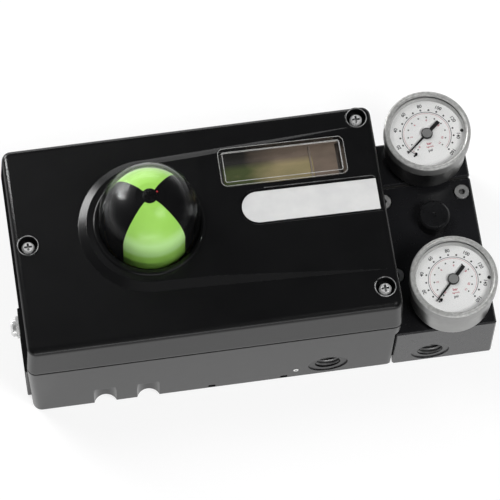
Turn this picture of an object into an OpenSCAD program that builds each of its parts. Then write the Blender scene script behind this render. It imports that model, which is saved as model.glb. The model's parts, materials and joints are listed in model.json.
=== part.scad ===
// Digital valve positioner: die-cast housing with a domed position indicator,
// a display window and a side manifold that carries two pressure gauges.
// The origin is on the feedback shaft's axis, in the plane of the mounting face.

/* [Housing] */
// Shaft axis to the left end of the housing, at the parting line
housing_left = 67; // [65:0.5:74]
// Shaft axis to the right end of the housing, at the parting line
housing_right = 115; // [113:0.5:124]
// Shaft axis to the front of the housing, at the parting line
housing_front = 59; // [57:0.5:66]
// Shaft axis to the back of the housing, at the parting line
housing_back = 49.5; // [48:0.5:58]
// Height of the base, up to the parting line
base_h = 53; // [51:0.5:60]
// Height of the cover above the parting line
cover_h = 24; // [23:0.5:30]
// Radius of the upright corners
corner_r = 4.5; // [4.5:0.25:7]
// Thickness of the base's floor
floor_t = 10; // [9:0.5:11]
// Thickness of the base's walls
base_wall = 4; // [3.5:0.25:5]
// How far the base's foot is drawn in from the parting line
base_draft = 1.5; // [0.5:0.25:2.5]
// Overhang of the base's rim above the manifold
rim_overhang = 3.8; // [3:0.2:5]
// Height of the rim that overhangs the manifold
rim_h = 7; // [5:0.5:9]

/* [Cover] */
// Thickness of the cover's walls and top
cover_wall = 3.5; // [3:0.25:4.5]
// How far the cover's walls lean in over their height
cover_draft = 1; // [0.5:0.25:2]
// Radius of the cover's top edge
cover_edge_r = 3.4; // [2.4:0.2:4]
// Height of the raised pad round the indicator
pad_h = 3; // [2:0.25:4]
// Radius of the raised pad's foot round the indicator
pad_r = 34.3; // [33:0.5:38]
// Width of the raised pad's bevelled edge
pad_bevel = 4; // [2:0.5:5]
// Where the raised pad's tail starts to fall away, right of the shaft axis
tail_start = 27; // [26:0.5:32]
// Half width of the raised pad's tail where it fades out
tail_half_w = 38; // [36:0.5:42]
// Right end of the housing to the right-hand cover screws
screw_in_right = 8.4; // [7:0.2:10]
// Left end of the housing to the left-hand cover screw
screw_in_left = 8; // [7.6:0.2:9]
// Back of the housing to the rear cover screw
screw_in_back = 7.5; // [7:0.1:9.5]
// Front of the housing to the front cover screw
screw_in_front = 12; // [9:0.2:15]
// Shaft axis to the left-hand cover screw, forward
screw_mid = 2.4; // [0:0.2:6]
// Radius of the rim round each cover screw
screw_rim_r = 5.4; // [5:0.1:5.6]
// Radius of a cover screw's head
screw_head_r = 3; // [2.7:0.1:3.6]
// Radius of a cover screw's shank
screw_r = 1.95; // [1.7:0.05:2.1]

/* [Indicator] */
// Outer radius of the clear dome
dome_r = 24; // [22.5:0.25:25]
// Wall of the clear dome
dome_wall = 2; // [1.5:0.1:2.5]
// Height of the dome's straight skirt above the raised pad
dome_skirt = 12.6; // [10:0.2:15]
// Width of the flange that holds the dome under the cover
dome_flange = 4; // [3:0.25:4]
// Gap between the beacon and the inside of the dome
beacon_gap = 0.7; // [0.5:0.1:1.2]
// Wall of the beacon
beacon_wall = 2; // [1.6:0.1:2.6]
// Depth of the coloured inserts in the beacon
insert_t = 0.8; // [0.5:0.1:1]
// Angle of each coloured insert
insert_angle = 88; // [60:1:100]

/* [Display and plate] */
// Length of the display window
window_w = 61.5; // [52:0.5:64]
// Depth of the display window
window_d = 19.8; // [17:0.2:21]
// Shaft axis to the middle of the window, rightward
window_x = 67.7; // [66:0.2:70]
// Shaft axis to the middle of the window, backward
window_y = 23.6; // [22:0.2:25]
// Corner radius of the window
window_r = 3; // [2:0.25:4]
// Height of the bare plate
plate_h = 16; // [13:0.5:17]
// Shaft axis to the rounded left end of the plate
plate_left = 44.8; // [42:0.2:50]
// Shaft axis to the middle of the plate, backward
plate_y = 1.6; // [0:0.2:2]
// Thickness of the bare plate
plate_t = 0.5; // [0.3:0.1:0.8]

/* [Shaft and gears] */
// Radius of the shaft in its lower bushing
shaft_r = 6; // [5.5:0.25:6.5]
// Radius of the shaft in its upper bushing
spindle_r = 4; // [3.5:0.25:4.5]
// Radial running clearance of the shafts
run_gap = 0.04; // [0.02:0.01:0.08]
// Radial clearance between fixed pieces
seat_gap = 0.05; // [0.02:0.01:0.1]
// Depth of the pocket round the shaft's end
pocket_d = 12; // [11:0.5:13]
// Radius of the pocket round the shaft's end
pocket_r = 17; // [15:0.5:18]
// Gear module
gear_m = 1; // [0.95:0.01:1.05]
// Teeth of the shaft gear
gear_teeth = 48; // [44:1:50]
// Teeth of the sensor pinion
pinion_teeth = 16; // [15:1:18]
// Thickness of the gears
gear_t = 6; // [4:0.5:7]
// Extra distance between the gear axes
gear_play = 0.3; // [0.2:0.05:0.4]

/* [Manifold] */
// Width of the manifold, away from the housing
manifold_w = 49.5; // [49:0.5:56]
// Height of the manifold
manifold_h = 37.6; // [36.5:0.2:38.4]
// Length of the manifold's main block
manifold_len = 77.7; // [76:0.5:84]
// Length of the manifold's end block
end_len = 22.7; // [22:0.5:28]
// Thickness of the gasket between the manifold and the housing
side_gasket_t = 1; // [0.6:0.1:1.5]
// Thickness of the gasket between the two blocks
end_gasket_t = 0.6; // [0.4:0.1:1]
// Chamfer on the blocks' edges
block_chamfer = 0.8; // [0.5:0.1:1.2]
// Radius of the tapped air ports
port_r = 6.3; // [5.6:0.1:6.6]
// Depth of the tapped air ports
port_depth = 13; // [11:0.5:14]
// Height of the air ports above the mounting face
port_z = 10.6; // [9.5:0.2:11.5]
// Radius of the black cap on the manifold
cap_r = 7.7; // [7:0.1:8.5]
// Height of the black cap on the manifold
cap_h = 8; // [6:0.5:10]
// Radius of the spool
spool_r = 4; // [3.5:0.1:4.4]
// Spool travel to either side of the middle
spool_travel = 2.5; // [1.5:0.25:3]

/* [Gauges] */
// Outer radius of the gauge bezels
bezel_r = 21.25; // [20.5:0.25:22]
// Outer radius of the gauge cases
case_r = 20; // [19.4:0.1:20]
// Height of a gauge from its case's bottom to the top of its bezel
gauge_h = 24.6; // [24:0.2:28]
// Height of the gauge case's bottom above the manifold
gauge_lift = 3; // [2:0.25:5]
// Manifold's left face to the gauges' axes
gauge_in = 29.2; // [28:0.2:30]
// Manifold's front face to the front gauge's axis
gauge_front = 16; // [15:0.2:18]
// End block's back face to the rear gauge's axis
gauge_back = 7.6; // [7.4:0.2:8.6]
// Turn of the front gauge's dial
front_dial_turn = 1.5; // [-10:0.5:10]
// Turn of the rear gauge's dial
rear_dial_turn = 4.5; // [-10:0.5:10]
// Radius of a gauge's threaded stem
stem_r = 4.85; // [4.5:0.05:5]

/* [Hidden] */
$fn = 64;
hull_fn = 32;
eps = 0.01;

paint = "#232426";
dark_metal = "#1b1c1e";
steel = "#b9bcbf";
brass = "#b8964e";
black_plastic = "#151617";
green = "#8fd04f";

// Levels of the housing
top_z = base_h + cover_h;
ceiling_z = top_z - cover_wall;
step_z = base_h - rim_h - rim_overhang;
pad_x = housing_right - rim_overhang;
inner_left = -housing_left + base_draft + base_wall;
inner_right = pad_x - base_wall;
inner_front = -housing_front + base_draft + base_wall;
inner_back = housing_back - base_draft - base_wall;

// Gasket in the base's rim
groove_w = 2.4;
groove_d = 1.8;
groove_inset = 1.7;
seam_h = 1.2;
seam_d = 0.8;

// Cover screws
screw_sites = [[screw_in_left - housing_left, -screw_mid],
               [housing_right - screw_in_right, housing_back - screw_in_back],
               [housing_right - screw_in_right, screw_in_front - housing_front]];
screw_head_h = 3.2;
screw_sink = 1.4;
screw_seat_z = top_z - screw_sink - screw_head_h;
screw_reach = 11;
screw_hole_gap = 0.25;
tap_extra = 2;
rim_lip = 0.4;
rim_wall = 0.8;
boss_r = 5.2;

// Cross slots and bevelled crown, as shares of a head's radius and height
slot_len_share = 0.62;
slot_w_share = 0.16;
crown_r_share = 0.76;
crown_h_share = 0.65;

// Raised pad and its falling tail
tail_inset = 1.6;
tail_tuck = 0.15;
tail_end = housing_right - cover_draft - cover_edge_r - tail_inset;
tail_angle = atan(pad_h / (tail_end - tail_start));

// Dome and beacon
dome_hole_gap = 0.25;
seal_t = 1.2;
flange_t = 2;
flange_top = ceiling_z - seal_t;
flange_z = flange_top - flange_t;
equator_z = top_z + pad_h + dome_skirt;
beacon_r = dome_r - dome_wall - beacon_gap;
crown_cut = 1.1;
beacon_top = equator_z + beacon_r - crown_cut;
beacon_sink = 6;
beacon_foot = top_z + pad_h - beacon_sink;
hub_r = 7;
hub_h = 14;
beacon_screw_r = 1.5;
beacon_head_r = 3.45;
beacon_head_h = 1.3;
beacon_head_sink = 0.9;
beacon_screw_reach = 11;
beacon_tap = 9;
spindle_short = 4;
spindle_top = beacon_top - spindle_short;
insert_hub_gap = 0.4;
retainer_rim = 6;
retainer_r = dome_r + dome_flange + retainer_rim;
retainer_t = 2.2;
retainer_screw_r = 1.2;
retainer_screw_out = 3.3;
retainer_pcd_r = dome_r + dome_flange + retainer_screw_out;
retainer_boss_r = 2.8;
retainer_screw_reach = 3;
retainer_head_r = 2.2;
retainer_head_h = 1.5;

// Window, display and plate
window_gap = 0.15;
window_rim = 2.5;
window_flange_t = 2;
window_proud = 0.5;
window_recess = 0.7;
window_margin = 2.2;
tray_gap = 1;
tray_top = ceiling_z - window_flange_t - tray_gap;
tray_t = 3;
tray_grow = 1;
tray_leg_r = 2;
tray_leg_in = 12;
tray_leg_dy = 6;
lcd_t = 1.6;
lcd_seat = 1.5;
lcd_side = 2;
lcd_foot = 1.6;
lcd_depth_share = 0.68;
lcd_r = 0.8;
lcd_share = 0.715;
plate_margin = 1.2;
plate_sink = 0.9;
plate_inset = 4;
plate_right = housing_right - plate_inset;

// Shaft stack
lip_t = 1.5;
lip_gap = 0.6;
bush_r = 9;
seal_ring_t = 3;
bush_flange_t = 1.5;
bush_flange_r = 11;
bush_z = pocket_d + lip_t + seal_ring_t;
shaft_boss_r = 21;
shaft_boss_h = 11;
shaft_boss_z = pocket_d + shaft_boss_h;
clip_t = 1;
clip_gap = 0.3;
clip_z = shaft_boss_z + bush_flange_t + clip_gap;
clip_r = 9.5;
clip_groove = 1;
collar_t = 1.2;
collar_r = 8;
shaft_end_z = 4.5;
tang_h = 3.5;
tang_w = 9;
tang_t = 4;
gear_rise = 4.2;
gear_z = clip_z + clip_t + gear_rise;
gear_hub_r = 10;
gear_hub_h = 3.5;
gear_hole_at = 0.66;
gear_hole_share = 0.15;
bridge_drop = 7;
bridge_z = base_h - bridge_drop;
bridge_t = 3;
bridge_post_r = 5;
bridge_post_y = 38;
bridge_w = 16;
bridge_bush_r = 6.5;
bridge_flange_r = 8.5;
bridge_flange_t = 1.5;
bridge_screw_r = 1.95;
bridge_screw_reach = 7;
bridge_head_r = 3.6;
bridge_head_h = 2.6;
bracket_screw_r = 1.45;
bracket_screw_reach = 6;
bracket_head_r = 2.7;
bracket_head_h = 1.8;
spindle_rise = 2;
spindle_z = gear_z + gear_t + spindle_rise;

// Gear teeth, in modules
tooth_tip = 0.8;
tooth_root = 1.2;
tooth_root_w = 0.95;
tooth_tip_w = 0.32;

// Sensor beside the shaft
gear_r = gear_m * gear_teeth / 2;
pinion_r = gear_m * pinion_teeth / 2;
sensor_angle = 150;
sensor_dist = gear_r + pinion_r + gear_play;
sensor_x = sensor_dist * cos(sensor_angle);
sensor_y = sensor_dist * sin(sensor_angle);
sensor_r = 10;
sensor_rise = 1;
sensor_plate_z = shaft_boss_z + sensor_rise;
sensor_plate_t = 2;
sensor_clear = 1;
sensor_foot_z = floor_t + sensor_clear;
sensor_well = 3;
sensor_end_gap = 0.3;
sensor_neck_h = 0.6;
sensor_neck_r = 4;
sensor_spindle_r = 3;
sensor_post_r = 3.5;
sensor_post_dy = 15;
sensor_plate_w = 14;
bracket_tap_z = sensor_plate_z - bracket_screw_reach - tap_extra;

// Circuit board
board_drop = 13;
board_z = base_h - board_drop;
board_t = 1.6;
board_x0 = 34;
board_clear = 9.2;
board_x1 = inner_right - board_clear;
board_r = 2;
board_y0 = -22;
board_y1 = 34;
board_inset = 4;
board_post_r = 3.5;
board_screw_r = 1.45;
board_screw_reach = 6;
board_head_r = 2.7;
board_head_h = 2;
key_r = 2.2;
key_h = 3.5;
key_travel = 0.8;
key_end_gap = 0.3;
key_cap_rim = 0.6;
key_cap_h = 1.2;
key_body = 6;
key_body_h = 3.2;
key_pitch = 11;
key_x = 46;
key_y = -14;
terminal_x = 58;
terminal_y = 4;
terminal_pitch = 5;
terminal_ways = 6;
terminal_d = 8;
terminal_h = 9.5;
terminal_well = 3.5;
terminal_well_r = 1.8;
terminal_slot = 3.2;
transducer_x = 60;
transducer_y = -45;
transducer_w = 28;
transducer_d = 18;
transducer_h = 14;
coil_r = 7.5;
coil_h = 11;
plug_inset = 2;
plug_w = 4;
plug_h = 5;

// Underside and wall features
mount_bolt_r = 3;
floor_skin = 1.5;
mount_bolt_depth = floor_t - floor_skin;
mount_pcd_r = 25;
conduit_r = 10.6;
conduit_boss_r = 14;
conduit_depth = 12;
conduit_x = 72;
conduit_z = 26;
vent_x = 79.6;
vent_z = 12.7;
vent_boss_r = 9.8;
vent_depth = 9;
vent_face_d = 0.3;
vent_core_share = 0.6;
vent_lip = 1.5;
scallop_r = 5.9;
scallop_d = 3.8;
scallop_h = 19;
scallop_x = [-30.2, -9];
scallop_wall = 3.4;
notch_x = [22.4, 58.1];
notch_w = 3.4;
notch_h = 2.6;
notch_d = 2.5;
notch_z = 0.8;
ground_y = -21.5;
ground_z = 22;
ground_pad_out = 0.6;
ground_pad_h = 32;
ground_pad_front = -49;
ground_pad_back = -15.5;
ground_x = -housing_left - ground_pad_out;
ground_pad_r = 6.5;
ground_r = 2.45;
ground_reach = 7;
ground_head_r = 4.4;
ground_head_h = 2.8;
lug_w = 8.4;
lug_t = 1.4;

// Manifold layout
block_x0 = pad_x + side_gasket_t;
block_x1 = block_x0 + manifold_w;
block_mid_x = (block_x0 + block_x1) / 2;
block_front = -housing_front + base_draft;
block_back = block_front + manifold_len;
end_front = block_back + end_gasket_t;
end_back = end_front + end_len;
block_screw_dx = 19.5;
block_screw_in = [7.2, 46.7];
block_screw_r = 2;
block_head_r = 3.6;
block_head_h = 4;
block_hex_r = 1.7;
head_proud = 0.2;
block_head_z = manifold_h - block_head_h + head_proud;
counterbore_gap = 0.6;
screw_clear = 0.2;
under_wall = 1.5;
under_t = 6;
under_skin = 1;
under_gap = 0.1;
under_inset = 1.2;
under_len = 52;
under_back = block_back - under_inset;
under_front = under_back - under_len;
spool_in = 34.8;
spool_x = block_x0 + spool_in;
spool_z = 20;
sleeve_wall = 2.45;
sleeve_r = spool_r + sleeve_wall;
sleeve_len = 48;
spool_end_gap = 1.5;
spool_len = sleeve_len - 2 * (spool_travel + spool_end_gap);
spool_neck_share = 0.6;
cap_in = 27.8;
cap_back = 20.6;
cap_x = block_x0 + cap_in;
cap_y = block_back - cap_back;
cap_bevel = 1;
cap_dimple_r = 1;
cap_dimple_d = 0.6;
cap_stem_r = 5;
cap_stem_h = 8;
supply_in = 18.4;
supply_x = block_x0 + supply_in;
out_in = [17.8, 37.8];
spotface_r = 9.5;
spotface_d = 0.5;
end_screw_in = [12.3, 37.8];
end_screw_drop = 7.1;
end_screw_z = manifold_h - end_screw_drop;
end_screw_reach = 12;
end_head_sink = 0.3;
end_head_y = end_back - block_head_h - end_head_sink;
side_screw_in = [15.2, 38.2];
side_screw_z = 27;
side_screw_r = 2.45;
side_screw_reach = 12;
side_head_r = 4.2;
side_head_h = 5;
side_hex_r = 2.3;
side_inset = 3;

// Gauge layout, measured up from the bottom of a gauge's case
gauge_x = block_x0 + gauge_in;
front_gauge_y = block_front + gauge_front;
rear_gauge_y = end_back - gauge_back;
gauge_z = manifold_h + gauge_lift;
bezel_h = 6.8;
bezel_lip = 2.7;
bezel_bead = 1.1;
bezel_shelf = 0.5;
case_wall = 1;
case_round = 2;
case_drop = 3.2;
case_h = gauge_h - case_drop;
dial_drop = 5.6;
dial_z = gauge_h - dial_drop;
dial_t = 0.6;
dial_gap = 0.35;
lens_drop = 2.6;
lens_z = gauge_h - lens_drop;
lens_t = 1.5;
pointer_rise = 0.8;
pointer_z = dial_z + dial_t + pointer_rise;
pointer_t = 0.5;
pointer_len = 14.2;
pointer_tail = 8.7;
pointer_tail_w = 0.9;
pointer_root_w = 0.6;
pointer_tip_w = 0.2;
pointer_hub_r = 2.8;
pointer_hub_h = 1;
arbor_r = 0.9;
arbor_end_gap = 0.3;
front_pointer_rest = 134.5;
rear_pointer_rest = 126;
stem_depth = 9;
hex_af = 14;
socket_w = 9;
socket_reach = 13;
socket_h = 7;
tube_r = 1.5;
tube_path_r = 12.5;
tube_sweep = 250;
tube_start = -60;
tube_drop = 3;
plate_gap_z = 9.2;
move_plate_t = 1;
move_plate_w = 16;
move_plate_front = 10;
move_plate_d = 14;
pillar_x = 6;
pillar_y = -8;
pillar_r = 1;
dial_foot_r = 0.8;
arbor_hole_gap = 0.5;
socket_back = 5;
stop_pin_r = 0.55;
stop_pin_angle = 141;
stop_pin_at = 12.2;
stop_pin_h = 1.6;

// Shared shapes

module rounded_rect(x0, x1, y0, y1, r) {
    translate([x0 + r, y0]) square([x1 - x0 - 2 * r, y1 - y0]);
    translate([x0, y0 + r]) square([x1 - x0, y1 - y0 - 2 * r]);
    for (x = [x0 + r, x1 - r], y = [y0 + r, y1 - r]) translate([x, y]) circle(r = r);
}

module housing_outline(inset, r) {
    rounded_rect(-housing_left + inset, housing_right - inset,
                 -housing_front + inset, housing_back - inset, r);
}

module ring(r_in, r_out, h) {
    difference() {
        cylinder(r = r_out, h = h);
        translate([0, 0, -1]) cylinder(r = r_in, h = h + 2);
    }
}

// Lays a shape that is drawn along +Z along another axis
module along_x() rotate([0, 90, 0]) children();
module along_y() rotate([-90, 0, 0]) children();

// Outline of a block's plan with its four corners cut
module cut_plan(x, y, c) {
    polygon([[c, 0], [x - c, 0], [x, c], [x, y - c], [x - c, y], [c, y], [0, y - c], [0, c]]);
}

module block_body(x0, y0, x, y, z, c) {
    translate([x0, y0, 0]) difference() {
        linear_extrude(z) cut_plan(x, y, c);
        for (side = [0, 1]) {
            translate([side * x, -1, z]) along_y()
                linear_extrude(y + 2) polygon([[-c, 0], [0, -c], [c, 0], [0, c]]);
            translate([-1, side * y, z]) along_x()
                linear_extrude(x + 2) polygon([[-c, 0], [0, -c], [c, 0], [0, c]]);
        }
    }
}

module cap_screw(r, reach, head_r, head_h, hex) {
    difference() {
        union() {
            translate([0, 0, -reach]) cylinder(r = r, h = reach);
            cylinder(r = head_r, h = head_h);
        }
        translate([0, 0, head_h / 2]) cylinder(r = hex, h = head_h, $fn = 6);
    }
}

// Cross-slotted screw with its head's seat at the origin
module cross_screw(r, reach, head_r, head_h) {
    difference() {
        union() {
            translate([0, 0, -reach]) cylinder(r = r, h = reach);
            cylinder(r = head_r, h = head_h * crown_h_share);
            translate([0, 0, head_h * crown_h_share])
                cylinder(r1 = head_r, r2 = head_r * crown_r_share, h = head_h * (1 - crown_h_share));
        }
        for (turn = [0, 90]) rotate(turn)
            translate([-head_r * slot_len_share, -head_r * slot_w_share, head_h / 2])
                cube([2 * head_r * slot_len_share, 2 * head_r * slot_w_share, head_h]);
    }
}

// Plan of a spur gear with straight-flanked teeth
module gear_plan(teeth, turn) {
    r = gear_m * teeth / 2;
    tip = r + tooth_tip * gear_m;
    root = r - tooth_root * gear_m;
    // Half widths of a tooth at its root and tip, as angles
    a_root = tooth_root_w * gear_m / root * 180 / PI;
    a_tip = tooth_tip_w * gear_m / tip * 180 / PI;
    polygon([for (i = [0 : teeth - 1], k = [[root, -a_root], [tip, -a_tip], [tip, a_tip], [root, a_root]])
        let (a = turn + i * 360 / teeth + k[1]) [k[0] * cos(a), k[0] * sin(a)]]);
}

// Places a shape on the pad's falling tail, with X still measured from the shaft axis
module on_tail() {
    translate([tail_start, 0, top_z + pad_h]) rotate([0, tail_angle, 0])
        translate([-tail_start, 0, 0]) children();
}

module window_plan(grow) {
    rounded_rect(window_x - window_w / 2 - grow, window_x + window_w / 2 + grow,
                 window_y - window_d / 2 - grow, window_y + window_d / 2 + grow, window_r + grow);
}

// Plate with a round left end
module plate_plan(grow, right) {
    translate([plate_left + plate_h / 2, plate_y]) circle(r = plate_h / 2 + grow);
    translate([plate_left + plate_h / 2, plate_y - plate_h / 2 - grow])
        square([right - plate_left - plate_h / 2, plate_h + 2 * grow]);
}

// Housing

// Drafted walls, a set-in lip that leaves a seam below the cover, and the ground screw's pad
module base_envelope() {
    hull() {
        linear_extrude(1) housing_outline(base_draft, corner_r, $fn = hull_fn);
        translate([0, 0, base_h - seam_h - 1]) linear_extrude(1) housing_outline(0, corner_r, $fn = hull_fn);
    }
    translate([0, 0, base_h - seam_h - 1]) linear_extrude(seam_h + 1) housing_outline(seam_d, corner_r - seam_d);
    linear_extrude(ground_pad_h)
        rounded_rect(ground_x, inner_left, ground_pad_front, ground_pad_back, ground_pad_out);
}

// What the manifold's side takes away below the overhanging rim
module manifold_step() {
    far_x = housing_right + 10;
    translate([0, housing_back + 10, 0]) rotate([90, 0, 0])
        linear_extrude(housing_front + housing_back + 20)
            polygon([[pad_x, -1], [far_x, -1], [far_x, step_z + far_x - pad_x], [pad_x, step_z]]);
}

module gasket_plan(inset, w) {
    difference() {
        housing_outline(inset, corner_r - inset);
        housing_outline(inset + w, corner_r - inset - w);
    }
}

module base_bosses() {
    for (s = screw_sites) translate([s.x, s.y, floor_t]) cylinder(r = boss_r, h = base_h - floor_t);
    translate([0, 0, floor_t / 2]) cylinder(r = shaft_boss_r, h = shaft_boss_z - floor_t / 2);
    for (side = [-1, 1]) {
        translate([0, side * bridge_post_y, floor_t / 2])
            cylinder(r = bridge_post_r, h = bridge_z - floor_t / 2);
        translate([sensor_x, sensor_y + side * sensor_post_dy, floor_t / 2])
            cylinder(r = sensor_post_r, h = sensor_plate_z - floor_t / 2);
    }
    board_sites() translate([0, 0, floor_t / 2]) cylinder(r = board_post_r, h = board_z - floor_t / 2);
    for (x = scallop_x) translate([x, block_front, floor_t / 2])
        intersection() {
            translate([0, scallop_d - scallop_r, 0])
                cylinder(r = scallop_r + scallop_wall, h = scallop_h - floor_t / 2 + scallop_wall);
            translate([-20, base_wall / 2, 0]) cube([40, 20, base_h]);
        }
    translate([vent_x, inner_front - base_wall / 2, vent_z]) along_y()
        cylinder(r = vent_boss_r, h = vent_depth - base_wall / 2);
    translate([conduit_x, inner_back + base_wall / 2, conduit_z]) rotate([90, 0, 0])
        cylinder(r = conduit_boss_r, h = conduit_depth - base_wall / 2);
    translate([-housing_left, ground_y, ground_z]) along_x()
        cylinder(r = ground_pad_r, h = ground_reach + tap_extra + 1);
}

module base_cuts() {
    // Shaft pocket, seal lip and bushing bore
    translate([0, 0, -1]) cylinder(r = pocket_r, h = pocket_d + 1);
    cylinder(r = shaft_r + lip_gap, h = shaft_boss_z);
    translate([0, 0, pocket_d + lip_t]) cylinder(r = bush_r, h = shaft_boss_z);
    // Tapped holes for the cover, the bridge, the sensor plate and the board
    for (s = screw_sites) translate([s.x, s.y, base_h - screw_reach - tap_extra])
        cylinder(r = screw_r + seat_gap, h = screw_reach + tap_extra + 1);
    for (side = [-1, 1]) {
        translate([0, side * bridge_post_y, bridge_z - bridge_screw_reach - tap_extra])
            cylinder(r = bridge_screw_r + seat_gap, h = bridge_screw_reach + tap_extra + 1);
        translate([sensor_x, sensor_y + side * sensor_post_dy, bracket_tap_z])
            cylinder(r = bracket_screw_r + seat_gap, h = bracket_screw_reach + tap_extra + 1);
    }
    board_sites() translate([0, 0, board_z - board_screw_reach - tap_extra])
        cylinder(r = board_screw_r + seat_gap, h = board_screw_reach + tap_extra + 1);
    // Gasket groove
    translate([0, 0, base_h - groove_d]) linear_extrude(groove_d + 1)
        gasket_plan(groove_inset, groove_w);
    // Mounting holes
    for (a = [45 : 90 : 315]) rotate(a) translate([mount_pcd_r, 0, -1])
        cylinder(r = mount_bolt_r, h = mount_bolt_depth + 1);
    // Scallops and small notches along the front foot
    for (x = scallop_x) translate([x, block_front + scallop_d - scallop_r, -1])
        cylinder(r = scallop_r, h = scallop_h + 1);
    for (x = notch_x) translate([x - notch_w / 2, -housing_front - 1, notch_z])
        cube([notch_w, 1 + base_draft + notch_d, notch_h]);
    // Vent port, conduit entry and ground screw
    translate([vent_x, -housing_front - 1, vent_z]) along_y() {
        cylinder(r = vent_boss_r, h = 1 + base_draft + vent_face_d);
        cylinder(r = port_r, h = 1 + base_draft + vent_depth - vent_lip);
        cylinder(r = port_r * vent_core_share, h = base_draft + base_wall + 2 * vent_depth);
    }
    translate([conduit_x, housing_back + 1, conduit_z]) rotate([90, 0, 0])
        cylinder(r = conduit_r, h = base_draft + conduit_depth + 3);
    translate([ground_x - 1, ground_y, ground_z]) along_x()
        cylinder(r = ground_r + seat_gap, h = 1 + ground_reach + tap_extra);
    // Screws that hold the manifold
    for (d = side_screw_in) translate([inner_right - 1, block_back - d, side_screw_z]) along_x()
        cylinder(r = side_screw_r + screw_clear, h = base_wall + 2);
}

module base_housing() {
    color(paint) difference() {
        union() {
            difference() {
                base_envelope();
                translate([0, 0, floor_t]) linear_extrude(base_h)
                    rounded_rect(inner_left, inner_right, inner_front, inner_back, corner_r - base_wall / 2);
            }
            base_bosses();
        }
        manifold_step();
        base_cuts();
    }
}

module cover_envelope() {
    corner = corner_r - cover_edge_r;
    hull() {
        translate([0, 0, base_h]) linear_extrude(1) housing_outline(0, corner_r, $fn = hull_fn);
        for (x = [-housing_left + cover_draft + corner_r, housing_right - cover_draft - corner_r],
             y = [-housing_front + cover_draft + corner_r, housing_back - cover_draft - corner_r])
            translate([x, y, top_z - cover_edge_r]) rotate_extrude($fn = hull_fn) intersection() {
                translate([corner, 0]) circle(r = cover_edge_r, $fn = hull_fn);
                translate([0, -cover_edge_r]) square([corner + cover_edge_r, 2 * cover_edge_r]);
            }
    }
}

// Bevelled disc of the raised pad
module pad_disc(tuck) {
    translate([0, 0, top_z - 1]) cylinder(r = pad_r - tuck, h = 1);
    translate([0, 0, top_z]) cylinder(r1 = pad_r - tuck, r2 = pad_r - pad_bevel - tuck, h = pad_h);
}

// Raised pad: a bevelled disc round the indicator that runs out into a broad falling tail
module raised_pad() {
    intersection() {
        union() {
            pad_disc(0);
            hull() {
                pad_disc(tail_tuck);
                translate([tail_end - 1, -tail_half_w, top_z - 1]) cube([1, 2 * tail_half_w, 1]);
                translate([tail_end - 1, pad_bevel - tail_half_w, top_z])
                    cube([1, 2 * (tail_half_w - pad_bevel), pad_h]);
            }
        }
        translate([0, housing_back, 0]) rotate([90, 0, 0]) linear_extrude(housing_front + housing_back)
            polygon([[-pad_r - 1, base_h], [tail_end + 1, base_h], [tail_end + 1, top_z - eps],
                     [tail_start, top_z + pad_h], [-pad_r - 1, top_z + pad_h]]);
    }
}

module cover_cuts() {
    // Dome opening
    translate([0, 0, ceiling_z - 1]) cylinder(r = dome_r + dome_hole_gap, h = cover_wall + pad_h + 2);
    // Window opening, and plate recess that runs out at the right-hand edge
    on_tail() translate([0, 0, -cover_wall - 3 * pad_h]) linear_extrude(cover_wall + 4 * pad_h)
        window_plan(window_gap);
    on_tail() translate([0, 0, -plate_sink]) linear_extrude(4 * pad_h)
        plate_plan(plate_margin, plate_right + plate_margin);
    // Cover screws
    for (s = screw_sites) translate([s.x, s.y, 0]) {
        translate([0, 0, base_h - 1]) cylinder(r = screw_r + screw_hole_gap, h = cover_h + 2);
        translate([0, 0, screw_seat_z]) cylinder(r = screw_rim_r - rim_wall, h = cover_h);
    }
    // Holes for the screws of the dome's retainer
    retainer_sites() translate([0, 0, flange_z - 1])
        cylinder(r = retainer_screw_r + seat_gap, h = ceiling_z - flange_z + 2);
}

module cover() {
    color(paint) difference() {
        union() {
            difference() {
                cover_envelope();
                translate([0, 0, base_h - 1]) linear_extrude(ceiling_z - base_h + 1)
                    housing_outline(cover_draft + cover_wall, corner_r - cover_wall);
            }
            raised_pad();
            for (s = screw_sites) translate([s.x, s.y, base_h])
                cylinder(r = screw_rim_r, h = cover_h + rim_lip);
            retainer_sites() translate([0, 0, flange_z])
                cylinder(r = retainer_boss_r, h = ceiling_z - flange_z + 1);
        }
        cover_cuts();
    }
}

module cover_gasket() {
    color("#2c2a28") translate([0, 0, base_h - groove_d]) linear_extrude(groove_d)
        gasket_plan(groove_inset + seat_gap, groove_w - 2 * seat_gap);
}

module cover_screws() {
    color(steel) for (s = screw_sites) translate([s.x, s.y, screw_seat_z])
        cross_screw(screw_r, screw_seat_z - base_h + screw_reach, screw_head_r, screw_head_h);
}

// Indicator

module indicator_dome() {
    color("#dfe8ea", 0.35) difference() {
        union() {
            translate([0, 0, flange_z]) cylinder(r = dome_r, h = equator_z - flange_z);
            translate([0, 0, flange_z]) cylinder(r = dome_r + dome_flange, h = flange_t);
            translate([0, 0, equator_z]) sphere(r = dome_r);
        }
        translate([0, 0, flange_z - dome_r])
            cylinder(r = dome_r - dome_wall, h = equator_z - flange_z + dome_r);
        translate([0, 0, equator_z]) sphere(r = dome_r - dome_wall);
        translate([0, 0, flange_z - 2 * dome_r]) cylinder(r = 2 * dome_r, h = 2 * dome_r);
    }
}

module dome_seal() {
    color("#26241f") translate([0, 0, flange_top])
        ring(dome_r + dome_hole_gap, dome_r + dome_flange, seal_t);
}

module retainer_sites() {
    for (a = [0 : 90 : 270]) rotate(a + 45) translate([retainer_pcd_r, 0, 0]) children();
}

module dome_retainer() {
    color(dark_metal) difference() {
        translate([0, 0, flange_z - retainer_t]) ring(dome_r - dome_wall, retainer_r, retainer_t);
        retainer_sites() translate([0, 0, flange_z - retainer_t - 1])
            cylinder(r = retainer_screw_r + screw_clear, h = retainer_t + 2);
    }
}

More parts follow.
